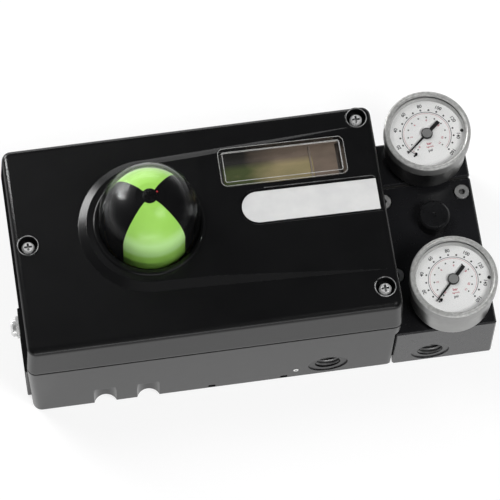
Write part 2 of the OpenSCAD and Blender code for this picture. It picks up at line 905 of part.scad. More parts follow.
module retainer_screws() {
    color(steel) retainer_sites() translate([0, 0, flange_z - retainer_t]) rotate([180, 0, 0])
        cross_screw(retainer_screw_r, retainer_t + retainer_screw_reach, retainer_head_r, retainer_head_h);
}

module sector_cut() {
    // Two opposite wedges about the front and back directions
    reach = 2 * beacon_r;
    half = insert_angle / 2;
    x = reach * cos(half);
    y = reach * sin(half);
    for (a = [-90, 90]) rotate(a) linear_extrude(2 * beacon_top) polygon([[0, 0], [x, -y], [x, y]]);
}

// Beacon's outline, taken in by a wall's thickness, from the stated foot up
module beacon_solid(shrink, foot) {
    r = beacon_r - shrink;
    translate([0, 0, foot]) cylinder(r = r, h = equator_z - foot);
    intersection() {
        translate([0, 0, equator_z]) sphere(r = r);
        translate([0, 0, equator_z]) cylinder(r = 2 * r, h = beacon_top - shrink - equator_z);
    }
}

// Room that the coloured inserts take in the beacon's skin, outside the hub
module insert_room() {
    difference() {
        sector_cut();
        beacon_solid(insert_t, beacon_foot - 1);
        cylinder(r = beacon_head_r + insert_hub_gap, h = 2 * beacon_top);
    }
}

module indicator_beacon() {
    color(black_plastic) difference() {
        union() {
            difference() {
                beacon_solid(0, beacon_foot);
                beacon_solid(beacon_wall, beacon_foot - 1);
            }
            translate([0, 0, beacon_top - hub_h]) cylinder(r = hub_r, h = hub_h - insert_t - eps);
        }
        insert_room();
        translate([0, 0, beacon_top - hub_h - 1])
            cylinder(r = spindle_r + seat_gap, h = spindle_top - beacon_top + hub_h + 1);
        cylinder(r = beacon_screw_r + seat_gap, h = 2 * beacon_top);
        translate([0, 0, beacon_top - beacon_head_sink])
            cylinder(r = beacon_head_r + seat_gap, h = 2 * beacon_head_h);
    }
}

module beacon_inserts() {
    color(green) intersection() {
        beacon_solid(0, beacon_foot);
        insert_room();
    }
}

module beacon_screw() {
    color(black_plastic) translate([0, 0, beacon_top - beacon_head_sink])
        cross_screw(beacon_screw_r, beacon_screw_reach, beacon_head_r, beacon_head_h);
}

// Display and plate

module display_window() {
    color("#d9dccf", 0.4) {
        difference() {
            intersection() {
                on_tail() translate([0, 0, -cover_wall - 2 * pad_h])
                    linear_extrude(cover_wall + 2 * pad_h + window_proud) window_plan(0);
                translate([0, 0, ceiling_z]) linear_extrude(2 * cover_h) window_plan(2);
            }
            on_tail() translate([0, 0, window_proud - window_recess]) linear_extrude(cover_h)
                window_plan(-window_margin);
        }
        translate([0, 0, ceiling_z - window_flange_t]) linear_extrude(window_flange_t)
            window_plan(window_rim);
    }
}

module tray_legs() {
    foot = board_z + board_t;
    for (x = [board_x0 + tray_leg_in, board_x1 - tray_leg_in],
         y = [window_y - tray_leg_dy, window_y + tray_leg_dy])
        translate([x, y, foot]) cylinder(r = tray_leg_r, h = tray_top - tray_t - foot + 1);
}

module lcd_plan(grow) {
    x0 = window_x - window_w / 2 + lcd_side;
    x1 = x0 + window_w * lcd_share;
    y0 = window_y - window_d / 2 + lcd_foot;
    y1 = y0 + window_d * lcd_depth_share;
    rounded_rect(x0 - grow, x1 + grow, y0 - grow, y1 + grow, lcd_r + grow);
}

module display_tray() {
    color("#7a6a58") difference() {
        union() {
            translate([0, 0, tray_top - tray_t]) linear_extrude(tray_t) window_plan(tray_grow);
            tray_legs();
        }
        translate([0, 0, tray_top - lcd_seat]) linear_extrude(2 * lcd_seat) lcd_plan(seat_gap);
    }
}

module lcd_glass() {
    color("#4f5a34") translate([0, 0, tray_top - lcd_seat]) linear_extrude(lcd_t) lcd_plan(0);
}

module name_plate() {
    color("#dedede") on_tail() translate([0, 0, -plate_sink]) linear_extrude(plate_t)
        plate_plan(0, plate_right);
}

// Electronics

module board_sites() {
    for (x = [board_x0 + board_inset, board_x1 - board_inset],
         y = [board_y0 + board_inset, board_y1 - board_inset])
        translate([x, y, 0]) children();
}

module key_site(i) translate([key_x + i * key_pitch, key_y, board_z + board_t]) children();

module main_board() {
    color("#1f4d2e") difference() {
        union() {
            translate([0, 0, board_z]) linear_extrude(board_t)
                rounded_rect(board_x0, board_x1, board_y0, board_y1, board_r);
            for (i = [0 : 2]) key_site(i) translate([-key_body / 2, -key_body / 2, 0])
                cube([key_body, key_body, key_body_h]);
        }
        board_sites() translate([0, 0, board_z - 1])
            cylinder(r = board_screw_r + screw_clear, h = board_t + 2);
        for (i = [0 : 2]) key_site(i) cylinder(r = key_r + run_gap, h = 2 * key_body_h);
    }
}

module board_screws() {
    color(steel) board_sites() translate([0, 0, board_z + board_t])
        cross_screw(board_screw_r, board_t + board_screw_reach, board_head_r, board_head_h);
}

module key(i) {
    color("#2f3133") key_site(i) {
        translate([0, 0, key_travel + key_end_gap]) cylinder(r = key_r, h = key_h);
        translate([0, 0, key_body_h + key_travel + key_end_gap])
            cylinder(r = key_r + key_cap_rim, h = key_cap_h);
    }
}
module key_menu() key(0);
module key_up() key(1);
module key_down() key(2);

module terminal_block() {
    color("#3d7a4a") translate([terminal_x, terminal_y, board_z + board_t]) difference() {
        cube([terminal_ways * terminal_pitch, terminal_d, terminal_h]);
        for (i = [0 : terminal_ways - 1]) translate([(i + 0.5) * terminal_pitch, 0, 0]) {
            translate([0, terminal_d / 2, terminal_h - terminal_well])
                cylinder(r = terminal_well_r, h = terminal_h);
            translate([-terminal_slot / 2, -1, terminal_slot / 2])
                cube([terminal_slot, terminal_d / 2, terminal_slot]);
        }
    }
}

module ip_transducer() {
    color("#8d9093") translate([transducer_x, transducer_y, floor_t]) {
        cube([transducer_w, transducer_d, transducer_h]);
        translate([transducer_w / 2, transducer_d / 2, transducer_h])
            cylinder(r = coil_r, h = coil_h);
        translate([plug_inset, plug_inset, transducer_h])
            cube([plug_w, transducer_d - 2 * plug_inset, plug_h]);
    }
}

// Ground screw on the left wall

module ground_lug() {
    color(steel) translate([ground_x, ground_y, ground_z]) rotate([0, -90, 0]) difference() {
        translate([-lug_w / 2, -lug_w / 2, 0]) cube([lug_w, lug_w, lug_t]);
        translate([0, 0, -1]) cylinder(r = ground_r + seat_gap, h = lug_t + 2);
    }
}

module ground_screw() {
    color(steel) translate([ground_x - lug_t, ground_y, ground_z]) rotate([0, -90, 0])
        cross_screw(ground_r, lug_t + ground_reach, ground_head_r, ground_head_h);
}

// Shaft

module feedback_shaft() {
    color(steel) difference() {
        union() {
            translate([0, 0, shaft_end_z]) cylinder(r = shaft_r, h = spindle_z - shaft_end_z);
            // Drive tang at the lower end
            translate([-tang_w / 2, -tang_t / 2, shaft_end_z - tang_h]) cube([tang_w, tang_t, tang_h + 1]);
            translate([0, 0, pocket_d - clip_gap - collar_t]) cylinder(r = collar_r, h = collar_t);
            translate([0, 0, spindle_z]) cylinder(r = spindle_r, h = spindle_top - spindle_z);
        }
        // Groove for the clip and tapped hole for the beacon's screw
        translate([0, 0, clip_z]) ring(shaft_r - clip_groove, shaft_r + 1, clip_t);
        translate([0, 0, spindle_top - beacon_tap])
            cylinder(r = beacon_screw_r + seat_gap, h = beacon_tap + 1);
    }
}

module lower_bushing() {
    color(brass) difference() {
        union() {
            translate([0, 0, bush_z]) cylinder(r = bush_r - seat_gap, h = shaft_boss_z - bush_z);
            translate([0, 0, shaft_boss_z]) cylinder(r = bush_flange_r, h = bush_flange_t);
        }
        cylinder(r = shaft_r + run_gap, h = base_h);
    }
}

module shaft_seal() {
    color("#26241f") translate([0, 0, pocket_d + lip_t])
        ring(shaft_r + run_gap, bush_r - seat_gap, seal_ring_t);
}

module shaft_clip() {
    color(steel) translate([0, 0, clip_z]) difference() {
        ring(shaft_r - clip_groove + seat_gap, clip_r, clip_t);
        translate([0, -2, -1]) cube([clip_r + 1, 4, clip_t + 2]);
    }
}

module shaft_gear() {
    color(brass) difference() {
        union() {
            translate([0, 0, gear_z]) linear_extrude(gear_t) gear_plan(gear_teeth, sensor_angle);
            translate([0, 0, gear_z - gear_hub_h]) cylinder(r = gear_hub_r, h = gear_hub_h + 1);
        }
        cylinder(r = shaft_r + seat_gap, h = base_h);
        for (a = [0 : 60 : 300]) rotate(a) translate([gear_r * gear_hole_at, 0, 0])
            cylinder(r = gear_r * gear_hole_share, h = base_h);
    }
}

module shaft_bridge() {
    color(dark_metal) difference() {
        translate([-bridge_w / 2, -bridge_post_y - bridge_post_r, bridge_z])
            cube([bridge_w, 2 * (bridge_post_y + bridge_post_r), bridge_t]);
        cylinder(r = bridge_bush_r, h = top_z);
        for (side = [-1, 1]) translate([0, side * bridge_post_y, bridge_z - 1])
            cylinder(r = bridge_screw_r + screw_clear, h = bridge_t + 2);
    }
}

// Screws of the shaft's bridge and of the sensor's bracket
module bracket_screws() {
    color(steel) for (side = [-1, 1]) {
        translate([0, side * bridge_post_y, bridge_z + bridge_t])
            cross_screw(bridge_screw_r, bridge_t + bridge_screw_reach, bridge_head_r, bridge_head_h);
        translate([sensor_x, sensor_y + side * sensor_post_dy, sensor_plate_z + sensor_plate_t])
            cross_screw(bracket_screw_r, sensor_plate_t + bracket_screw_reach,
                        bracket_head_r, bracket_head_h);
    }
}

module upper_bushing() {
    color(brass) difference() {
        union() {
            translate([0, 0, bridge_z]) cylinder(r = bridge_bush_r - seat_gap, h = bridge_t);
            translate([0, 0, bridge_z + bridge_t]) cylinder(r = bridge_flange_r, h = bridge_flange_t);
        }
        cylinder(r = spindle_r + run_gap, h = top_z);
    }
}

// Position sensor

module pot_bracket() {
    reach = sensor_post_dy + sensor_post_r;
    color(steel) difference() {
        translate([sensor_x - sensor_plate_w / 2, sensor_y - reach, sensor_plate_z])
            cube([sensor_plate_w, 2 * reach, sensor_plate_t]);
        translate([sensor_x, sensor_y, 0]) cylinder(r = sensor_neck_r + seat_gap, h = base_h);
        for (side = [-1, 1]) translate([sensor_x, sensor_y + side * sensor_post_dy, sensor_plate_z - 1])
            cylinder(r = bracket_screw_r + screw_clear, h = sensor_plate_t + 2);
    }
}

module potentiometer() {
    color("#3a5f8a") translate([sensor_x, sensor_y, 0]) difference() {
        union() {
            translate([0, 0, sensor_foot_z]) cylinder(r = sensor_r, h = sensor_plate_z - sensor_foot_z);
            translate([0, 0, sensor_plate_z]) cylinder(r = sensor_neck_r, h = sensor_plate_t + sensor_neck_h);
        }
        translate([0, 0, sensor_foot_z + sensor_well]) cylinder(r = sensor_spindle_r + run_gap, h = base_h);
    }
}

module pot_pinion() {
    color(brass) translate([sensor_x, sensor_y, 0]) {
        translate([0, 0, gear_z]) linear_extrude(gear_t)
            gear_plan(pinion_teeth, sensor_angle + 180 + 180 / pinion_teeth);
        translate([0, 0, sensor_foot_z + sensor_well + sensor_end_gap])
            cylinder(r = sensor_spindle_r, h = gear_z - sensor_foot_z - sensor_well);
    }
}

// Manifold

module block_screw_sites() {
    for (side = [-1, 1], d = block_screw_in)
        translate([block_mid_x + side * block_screw_dx, block_back - d, 0]) children();
}

module tapped_port(x, z, y, turn) {
    translate([x, y, z]) rotate([turn, 0, 0]) {
        translate([0, 0, -1]) cylinder(r = port_r, h = port_depth + 1);
        translate([0, 0, -1]) cylinder(r = spotface_r, h = spotface_d + 1);
    }
}

module manifold_block() {
    color(dark_metal) difference() {
        block_body(block_x0, block_front, manifold_w, manifold_len, manifold_h, block_chamfer);
        // Cap screws, and the plate that they hold from above
        block_screw_sites() {
            translate([0, 0, -1]) cylinder(r = block_screw_r + screw_clear, h = manifold_h + 2);
            translate([0, 0, block_head_z]) cylinder(r = block_head_r + counterbore_gap, h = manifold_h);
        }
        translate([block_x0 + under_wall, under_front, -1])
            cube([manifold_w - 2 * under_wall, under_back - under_front, under_t + 1]);
        // Spool bore, closed by the end block
        translate([spool_x, block_back - sleeve_len - 1, spool_z]) along_y()
            cylinder(r = sleeve_r + seat_gap, h = sleeve_len + 2);
        // Cap, gauge stem, supply port
        translate([cap_x, cap_y, manifold_h - cap_stem_h - 1])
            cylinder(r = cap_stem_r + seat_gap, h = cap_stem_h + 2);
        translate([gauge_x, front_gauge_y, manifold_h - stem_depth - 1])
            cylinder(r = stem_r + seat_gap, h = stem_depth + 2);
        tapped_port(supply_x, port_z, block_front, -90);
        // Screws of the end block and of the housing
        for (d = end_screw_in)
            translate([block_x0 + d, block_back - end_screw_reach - 1, end_screw_z]) along_y()
                cylinder(r = block_screw_r + seat_gap, h = end_screw_reach + 2);
        for (d = side_screw_in) translate([block_x0 - 1, block_back - d, side_screw_z]) along_x()
            cylinder(r = side_screw_r + seat_gap, h = side_screw_reach + 2);
    }
}

module manifold_end_block() {
    color(dark_metal) difference() {
        block_body(block_x0, end_front, manifold_w, end_len, manifold_h, block_chamfer);
        translate([gauge_x, rear_gauge_y, manifold_h - stem_depth - 1])
            cylinder(r = stem_r + seat_gap, h = stem_depth + 2);
        for (d = out_in) tapped_port(block_x0 + d, port_z, end_back, 90);
        for (d = end_screw_in) translate([block_x0 + d, end_front - 1, end_screw_z]) along_y() {
            cylinder(r = block_screw_r + screw_clear, h = end_len + 2);
            translate([0, 0, 1 + end_head_y - end_front])
                cylinder(r = block_head_r + counterbore_gap, h = end_len);
        }
    }
}

module end_block_gasket() {
    color("#2c2a28") difference() {
        translate([block_x0 + block_chamfer, block_back, block_chamfer])
            cube([manifold_w - 2 * block_chamfer, end_gasket_t, manifold_h - 2 * block_chamfer]);
        for (d = end_screw_in) translate([block_x0 + d, block_back - 1, end_screw_z]) along_y()
            cylinder(r = block_screw_r + screw_clear, h = end_gasket_t + 2);
    }
}

module end_block_screws() {
    color(steel) for (d = end_screw_in)
        translate([block_x0 + d, end_head_y, end_screw_z]) along_y()
            cap_screw(block_screw_r, end_head_y - block_back + end_screw_reach,
                      block_head_r, block_head_h, block_hex_r);
}

module manifold_gasket() {
    color("#2c2a28") difference() {
        translate([pad_x, block_front + side_inset, side_inset])
            cube([side_gasket_t, manifold_len - 2 * side_inset, manifold_h - 2 * side_inset]);
        for (d = side_screw_in) translate([pad_x - 1, block_back - d, side_screw_z]) along_x()
            cylinder(r = side_screw_r + screw_clear, h = side_gasket_t + 2);
    }
}

module manifold_mount_screws() {
    reach = base_wall + side_gasket_t + side_screw_reach;
    color(steel) for (d = side_screw_in)
        translate([inner_right, block_back - d, side_screw_z]) rotate([0, -90, 0])
            cap_screw(side_screw_r, reach, side_head_r, side_head_h, side_hex_r);
}

module manifold_bottom_plate() {
    color(dark_metal) difference() {
        translate([block_x0 + under_wall + under_gap, under_front + under_gap, 0])
            cube([manifold_w - 2 * (under_wall + under_gap),
                  under_back - under_front - 2 * under_gap, under_t]);
        block_screw_sites() translate([0, 0, under_skin])
            cylinder(r = block_screw_r + seat_gap, h = under_t);
    }
}

module manifold_screws() {
    color(steel) block_screw_sites() translate([0, 0, block_head_z])
        cap_screw(block_screw_r, block_head_z - under_skin - screw_clear, block_head_r, block_head_h,
                  block_hex_r);
}

module spool_sleeve() {
    color(steel) translate([spool_x, block_back - sleeve_len, spool_z]) along_y() difference() {
        cylinder(r = sleeve_r, h = sleeve_len);
        translate([0, 0, -1]) cylinder(r = spool_r + run_gap, h = sleeve_len + 2);
    }
}

module spool() {
    land = spool_len / 5;
    color(steel) translate([spool_x, block_back - sleeve_len / 2 - spool_len / 2, spool_z]) along_y() {
        cylinder(r = spool_r * spool_neck_share, h = spool_len);
        for (i = [0 : 2]) translate([0, 0, 2 * i * land]) cylinder(r = spool_r, h = land);
    }
}

module filter_plug() {
    color(black_plastic) translate([cap_x, cap_y, manifold_h]) difference() {
        union() {
            cylinder(r = cap_r, h = cap_h - cap_bevel);
            translate([0, 0, cap_h - cap_bevel]) cylinder(r1 = cap_r, r2 = cap_r - cap_bevel, h = cap_bevel);
            translate([0, 0, -cap_stem_h]) cylinder(r = cap_stem_r, h = cap_stem_h);
        }
        translate([0, 0, cap_h - cap_dimple_d]) cylinder(r = cap_dimple_r, h = 1);
    }
}

// Gauges, each drawn about its own axis with its case's bottom at the origin

module at_front_gauge() translate([gauge_x, front_gauge_y, gauge_z]) rotate(front_dial_turn) children();
module at_rear_gauge() translate([gauge_x, rear_gauge_y, gauge_z]) rotate(rear_dial_turn) children();

module gauge_case() {
    color(steel) rotate_extrude() difference() {
        union() {
            square([case_r - case_round, case_h]);
            translate([0, case_round]) square([case_r, case_h - case_round]);
            translate([case_r - case_round, case_round]) circle(r = case_round);
        }
        translate([-1, case_wall]) square([case_r - case_wall + 1, case_h]);
        translate([-1, -1]) square([stem_r + seat_gap + 1, case_h]);
        translate([-case_r, -1]) square([case_r, case_h + 2]);
    }
}

// Rolled ring: a wall round the case, a flat lip over the lens and a bead on the rim
module gauge_bezel() {
    z0 = gauge_h - bezel_h;
    inner_r = bezel_r - bezel_lip;
    color("#c4c6c8") rotate_extrude() difference() {
        union() {
            translate([inner_r, z0]) square([bezel_lip, bezel_h - bezel_bead]);
            translate([inner_r, z0]) square([bezel_lip - bezel_bead, bezel_h - bezel_shelf]);
            translate([bezel_r - bezel_bead, gauge_h - bezel_bead]) circle(r = bezel_bead);
        }
        translate([0, z0 - 1]) square([case_r + seat_gap, lens_z + lens_t - z0 + 1]);
    }
}

module gauge_lens() {
    color("#e8eef0", 0.3) translate([0, 0, lens_z]) cylinder(r = case_r - seat_gap, h = lens_t);
}

module gauge_dial() {
    color("#f4f4f2") {
        translate([0, 0, dial_z]) ring(arbor_r + arbor_hole_gap, case_r - case_wall - dial_gap, dial_t);
        rotate(stop_pin_angle) translate([0, stop_pin_at, dial_z])
            cylinder(r = stop_pin_r, h = dial_t + stop_pin_h);
        // Two feet down to the socket's plate
        for (side = [-1, 1]) translate([side * pillar_x, pillar_y, socket_h + plate_gap_z])
            cylinder(r = dial_foot_r, h = dial_z - socket_h - plate_gap_z + dial_t / 2);
    }
}

module gauge_socket() {
    color(brass) {
        // Stem, hexagon and the block that the tube is soldered into
        translate([0, 0, -gauge_lift - stem_depth])
            cylinder(r = stem_r, h = stem_depth + gauge_lift + 2 * case_wall);
        translate([0, 0, -gauge_lift]) cylinder(r = hex_af / 2 / cos(30), h = gauge_lift, $fn = 6);
        translate([-socket_w / 2, -socket_reach, case_wall])
            cube([socket_w, socket_reach + socket_back, socket_h - case_wall]);
        // Two plates and pillars that carry the pointer's arbor
        for (z = [socket_h, socket_h + plate_gap_z - move_plate_t]) translate([0, 0, z]) difference() {
            translate([-move_plate_w / 2, -move_plate_front, 0])
                cube([move_plate_w, move_plate_d, move_plate_t]);
            translate([0, 0, -1]) cylinder(r = arbor_r + run_gap, h = move_plate_t + 2);
        }
        for (side = [-1, 1]) translate([side * pillar_x, pillar_y, socket_h + move_plate_t / 2])
            cylinder(r = pillar_r, h = plate_gap_z - move_plate_t);
    }
}

module bourdon_tube() {
    color(brass) translate([0, 0, socket_h - tube_drop]) rotate(tube_start)
        rotate_extrude(angle = tube_sweep) translate([tube_path_r, 0]) circle(r = tube_r);
}

module gauge_pointer(rest) {
    color(black_plastic) rotate(rest) {
        translate([0, 0, pointer_z]) {
            linear_extrude(pointer_t)
                polygon([[-pointer_tail_w, -pointer_tail], [pointer_tail_w, -pointer_tail],
                         [pointer_tail_w, 0], [pointer_root_w, 0], [pointer_tip_w, pointer_len],
                         [-pointer_tip_w, pointer_len], [-pointer_root_w, 0], [-pointer_tail_w, 0]]);
            cylinder(r = pointer_hub_r, h = pointer_hub_h);
        }
        translate([0, 0, socket_h + arbor_end_gap])
            cylinder(r = arbor_r, h = pointer_z + pointer_t - socket_h - arbor_end_gap);
    }
}

module front_gauge_case() at_front_gauge() gauge_case();
module front_gauge_bezel() at_front_gauge() gauge_bezel();
module front_gauge_lens() at_front_gauge() gauge_lens();
module front_gauge_dial() at_front_gauge() gauge_dial();
module front_gauge_socket() at_front_gauge() gauge_socket();
module front_bourdon_tube() at_front_gauge() bourdon_tube();
module front_gauge_pointer() at_front_gauge() gauge_pointer(front_pointer_rest);
module rear_gauge_case() at_rear_gauge() gauge_case();
module rear_gauge_bezel() at_rear_gauge() gauge_bezel();
module rear_gauge_lens() at_rear_gauge() gauge_lens();
module rear_gauge_dial() at_rear_gauge() gauge_dial();
module rear_gauge_socket() at_rear_gauge() gauge_socket();
module rear_bourdon_tube() at_rear_gauge() bourdon_tube();
module rear_gauge_pointer() at_rear_gauge() gauge_pointer(rear_pointer_rest);

base_housing();
cover();
cover_gasket();
cover_screws();
indicator_dome();
dome_seal();
dome_retainer();
retainer_screws();
display_window();
display_tray();
lcd_glass();
name_plate();
main_board();
board_screws();
terminal_block();
key_menu();
key_up();
key_down();
ground_screw();
ground_lug();
feedback_shaft();
lower_bushing();
upper_bushing();
shaft_seal();
shaft_clip();
shaft_bridge();
bracket_screws();
shaft_gear();
indicator_beacon();
beacon_inserts();
beacon_screw();
potentiometer();
pot_bracket();
pot_pinion();
ip_transducer();
manifold_block();
manifold_end_block();
end_block_gasket();
end_block_screws();
manifold_gasket();
manifold_mount_screws();
manifold_bottom_plate();
manifold_screws();
spool_sleeve();
spool();
filter_plug();
front_gauge_case();
front_gauge_bezel();
front_gauge_lens();
front_gauge_dial();
front_gauge_socket();
front_bourdon_tube();
front_gauge_pointer();
rear_gauge_case();
rear_gauge_bezel();
rear_gauge_lens();
rear_gauge_dial();
rear_gauge_socket();
rear_bourdon_tube();
rear_gauge_pointer();
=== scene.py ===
"""Looks of a valve positioner: materials, printed dials, threads, studio and camera."""

import json
import math

import bmesh
import bpy
from mathutils import Matrix, Vector


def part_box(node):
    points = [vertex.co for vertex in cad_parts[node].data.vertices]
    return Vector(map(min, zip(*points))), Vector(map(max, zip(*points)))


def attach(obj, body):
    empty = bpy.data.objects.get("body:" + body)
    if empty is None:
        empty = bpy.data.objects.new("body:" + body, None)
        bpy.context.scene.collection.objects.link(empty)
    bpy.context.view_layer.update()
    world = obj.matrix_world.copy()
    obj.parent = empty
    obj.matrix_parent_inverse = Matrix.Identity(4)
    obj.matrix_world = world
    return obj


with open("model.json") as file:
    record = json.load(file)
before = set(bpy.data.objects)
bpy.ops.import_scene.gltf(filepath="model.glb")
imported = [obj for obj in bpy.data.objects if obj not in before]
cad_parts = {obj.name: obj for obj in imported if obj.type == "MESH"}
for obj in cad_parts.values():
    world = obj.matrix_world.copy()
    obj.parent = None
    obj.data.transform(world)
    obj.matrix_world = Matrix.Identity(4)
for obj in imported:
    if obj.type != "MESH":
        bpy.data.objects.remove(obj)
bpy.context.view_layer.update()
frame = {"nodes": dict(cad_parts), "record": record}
nodes = frame["nodes"]
scene = bpy.context.scene
MM = 0.001


# Materials

# Height of the fine grain, and the scale of the roughness noise as a share of the grain's
GRAIN_HEIGHT = 0.1 * MM
ROUGH_SHARE = 0.15
# How far the rounded normal agrees with the plain one, from a full edge to none
EDGE_RANGE = (0.86, 0.995)
# Scuffs along worn edges
SCUFF_SCALE = 400
SCUFF_MOST = 0.5
SCUFF_RANGE = (0.45, 0.7)
# Shade in slots and corners, by how open the place is
RECESS_BLACK = (0.005, 0.005, 0.005)
RECESS_MOST = 0.9
RECESS_RANGE = (0.35, 0.9)
# How far a side wall faces up, and how far a dull wall faces right
SIDE_RANGE = (0.15, 0.6)
LEFT_RANGE = (-0.985, -0.85)
# Smudges on clear sheets, and how metallic their pale edges are; the pale edges are a painted highlight
SMUDGE_SCALE = 90
EDGE_HIGHLIGHT_METALLIC = 0.2
# The display's painted light on its right side, with painted shade on its left, and its streaks
LIT_RANGE = (49 * MM, 65 * MM)
STREAK_SCALE = 170
STREAK_STRETCH = (0.5, 1, 1)
STREAK_SHARE = 0.9
STREAK_RANGE = (0.5, 1.58)
DISPLAY_ROUGH_SCALE = 300


def start_material(name):
    """A new node material, its tree and its main shader."""
    mat = bpy.data.materials.new(name)
    mat.use_nodes = True
    return mat, mat.node_tree, mat.node_tree.nodes["Principled BSDF"]


def noise(tree, scale, detail=3.0, stretch=(1, 1, 1)):
    """Noise over the piece's own coordinates; scale is in cycles per metre."""
    coords = tree.nodes.new("ShaderNodeTexCoord")
    mapping = tree.nodes.new("ShaderNodeMapping")
    texture = tree.nodes.new("ShaderNodeTexNoise")
    mapping.inputs["Scale"].default_value = stretch
    texture.inputs["Scale"].default_value = scale
    texture.inputs["Detail"].default_value = detail
    tree.links.new(coords.outputs["Object"], mapping.inputs["Vector"])
    tree.links.new(mapping.outputs["Vector"], texture.inputs["Vector"])
    return texture.outputs["Fac"]


def between(tree, factor, low, high, start=0.3, end=0.7):
    """A number that runs from low to high as the factor runs from start to end."""
    spread = tree.nodes.new("ShaderNodeMapRange")
    for key, value in (("From Min", start), ("From Max", end), ("To Min", low), ("To Max", high)):
        spread.inputs[key].default_value = value
    tree.links.new(factor, spread.inputs["Value"])
    return spread.outputs["Result"]


def colours(tree, factor, low, high, start=0.3, end=0.7):
    """A colour that runs from low to high as the factor runs from start to end."""
    ramp = tree.nodes.new("ShaderNodeValToRGB")
    for stop, place, colour in zip(ramp.color_ramp.elements, (start, end), (low, high)):
        stop.position = place
        stop.color = (*colour, 1)
    tree.links.new(factor, ramp.inputs["Fac"])
    return ramp.outputs["Color"]


def product(tree, one, two):
    """Two numbers multiplied."""
    both = tree.nodes.new("ShaderNodeMath")
    both.operation = "MULTIPLY"
    tree.links.new(one, both.inputs[0])
    tree.links.new(two, both.inputs[1])
    return both.outputs["Value"]


def scaled_sum(tree, value, share, addend, clamped=False):
    """A share of one number plus another number."""
    total = tree.nodes.new("ShaderNodeMath")
    total.operation = "MULTIPLY_ADD"
    total.inputs[1].default_value = share
    total.use_clamp = clamped
    tree.links.new(value, total.inputs[0])
    tree.links.new(addend, total.inputs[2])
    return total.outputs["Value"]


def mixed(tree, factor, first, second):
    """A colour socket blended by the factor towards a plain colour or another socket."""
    mix = tree.nodes.new("ShaderNodeMix")
    mix.data_type = "RGBA"
    tree.links.new(factor, mix.inputs["Factor"])
    tree.links.new(first, mix.inputs["A"])
    if isinstance(second, tuple):
        mix.inputs["B"].default_value = (*second, 1)
    else:
        tree.links.new(second, mix.inputs["B"])
    return mix.outputs["Result"]


def place_along(tree, axis):
    """The piece's own coordinate along an axis, in metres."""
    coords = tree.nodes.new("ShaderNodeTexCoord")
    split = tree.nodes.new("ShaderNodeSeparateXYZ")
    tree.links.new(coords.outputs["Object"], split.inputs["Vector"])
    return split.outputs[axis]


def facing_along(tree, axis):
    """How far the surface faces along an axis, from -1 to 1."""
    faces = tree.nodes.new("ShaderNodeNewGeometry")
    split = tree.nodes.new("ShaderNodeSeparateXYZ")
    tree.links.new(faces.outputs["Normal"], split.inputs["Vector"])
    return split.outputs[axis]


def height_band(tree, foot, low, high, top):
    """A mask that is 1 between two heights and fades to 0 at the foot and the top."""
    height = place_along(tree, "Z")
    return product(tree, between(tree, height, 0, 1, foot, low), between(tree, height, 1, 0, high, top))


def rounded_edges(tree, radius):
    """Normals rounded over sharp edges, and a mask that is 1 along them."""
    bevel = tree.nodes.new("ShaderNodeBevel")
    bevel.samples = 6
    bevel.inputs["Radius"].default_value = radius
    plain = tree.nodes.new("ShaderNodeNewGeometry")
    dot = tree.nodes.new("ShaderNodeVectorMath")
    dot.operation = "DOT_PRODUCT"
    tree.links.new(bevel.outputs["Normal"], dot.inputs[0])
    tree.links.new(plain.outputs["Normal"], dot.inputs[1])
    return bevel.outputs["Normal"], between(tree, dot.outputs["Value"], 1, 0, *EDGE_RANGE)


def shaded_recesses(tree, colour, reach):
    """A colour socket darkened where the surface lies in a slot or corner."""
    shade = tree.nodes.new("ShaderNodeAmbientOcclusion")
    shade.samples = 8
    shade.only_local = True
    shade.inputs["Distance"].default_value = reach
    hidden = between(tree, shade.outputs["AO"], RECESS_MOST, 0, *RECESS_RANGE)
    return mixed(tree, hidden, colour, RECESS_BLACK)


def surface(
    name, dark, light, rough, metallic=0.0, patch=70, grain=2500, bump=0.1, stretch=(1, 1, 1),
    edge=0.0, worn=None, recess=0.0, gloss=0.5, sides=None, band=None, dull_left=False,
):
    """An opaque finish: mottled colour, uneven roughness, fine grain and softened, worn edges.

    Side walls may take a painted shade, a band of heights a painted highlight, and recesses a painted
    shade. Walls that face left may be dull.
    """
    mat, tree, shader = start_material(name)
    colour = colours(tree, noise(tree, patch), dark, light)
    bumps = tree.nodes.new("ShaderNodeBump")
    bumps.inputs["Strength"].default_value = bump
    bumps.inputs["Distance"].default_value = GRAIN_HEIGHT
    tree.links.new(noise(tree, grain, 2, stretch), bumps.inputs["Height"])
    if edge:
        normal, mask = rounded_edges(tree, edge)
        tree.links.new(normal, bumps.inputs["Normal"])
        if worn:
            scuffs = between(tree, noise(tree, SCUFF_SCALE), 0, SCUFF_MOST, *SCUFF_RANGE)
            colour = mixed(tree, product(tree, mask, scuffs), colour, worn)
    # Painted shade: steep side walls take a darker colour
    if sides:
        colour = mixed(tree, between(tree, facing_along(tree, "Z"), 1, 0, *SIDE_RANGE), colour, sides)
    # Painted highlight: a band of heights takes a paler colour
    if band:
        heights, pale = band
        colour = mixed(tree, height_band(tree, *heights), colour, pale)
    # Painted shade in slots and corners
    if recess:
        colour = shaded_recesses(tree, colour, recess)
    tree.links.new(colour, shader.inputs["Base Color"])
    tree.links.new(bumps.outputs["Normal"], shader.inputs["Normal"])
    tree.links.new(between(tree, noise(tree, ROUGH_SHARE * grain), *rough), shader.inputs["Roughness"])
    shader.inputs["Metallic"].default_value = metallic
    shader.inputs["Specular IOR Level"].default_value = gloss
    if dull_left:
        gloss_mask = between(tree, facing_along(tree, "X"), 0, gloss, *LEFT_RANGE)
        tree.links.new(gloss_mask, shader.inputs["Specular IOR Level"])
    return mat


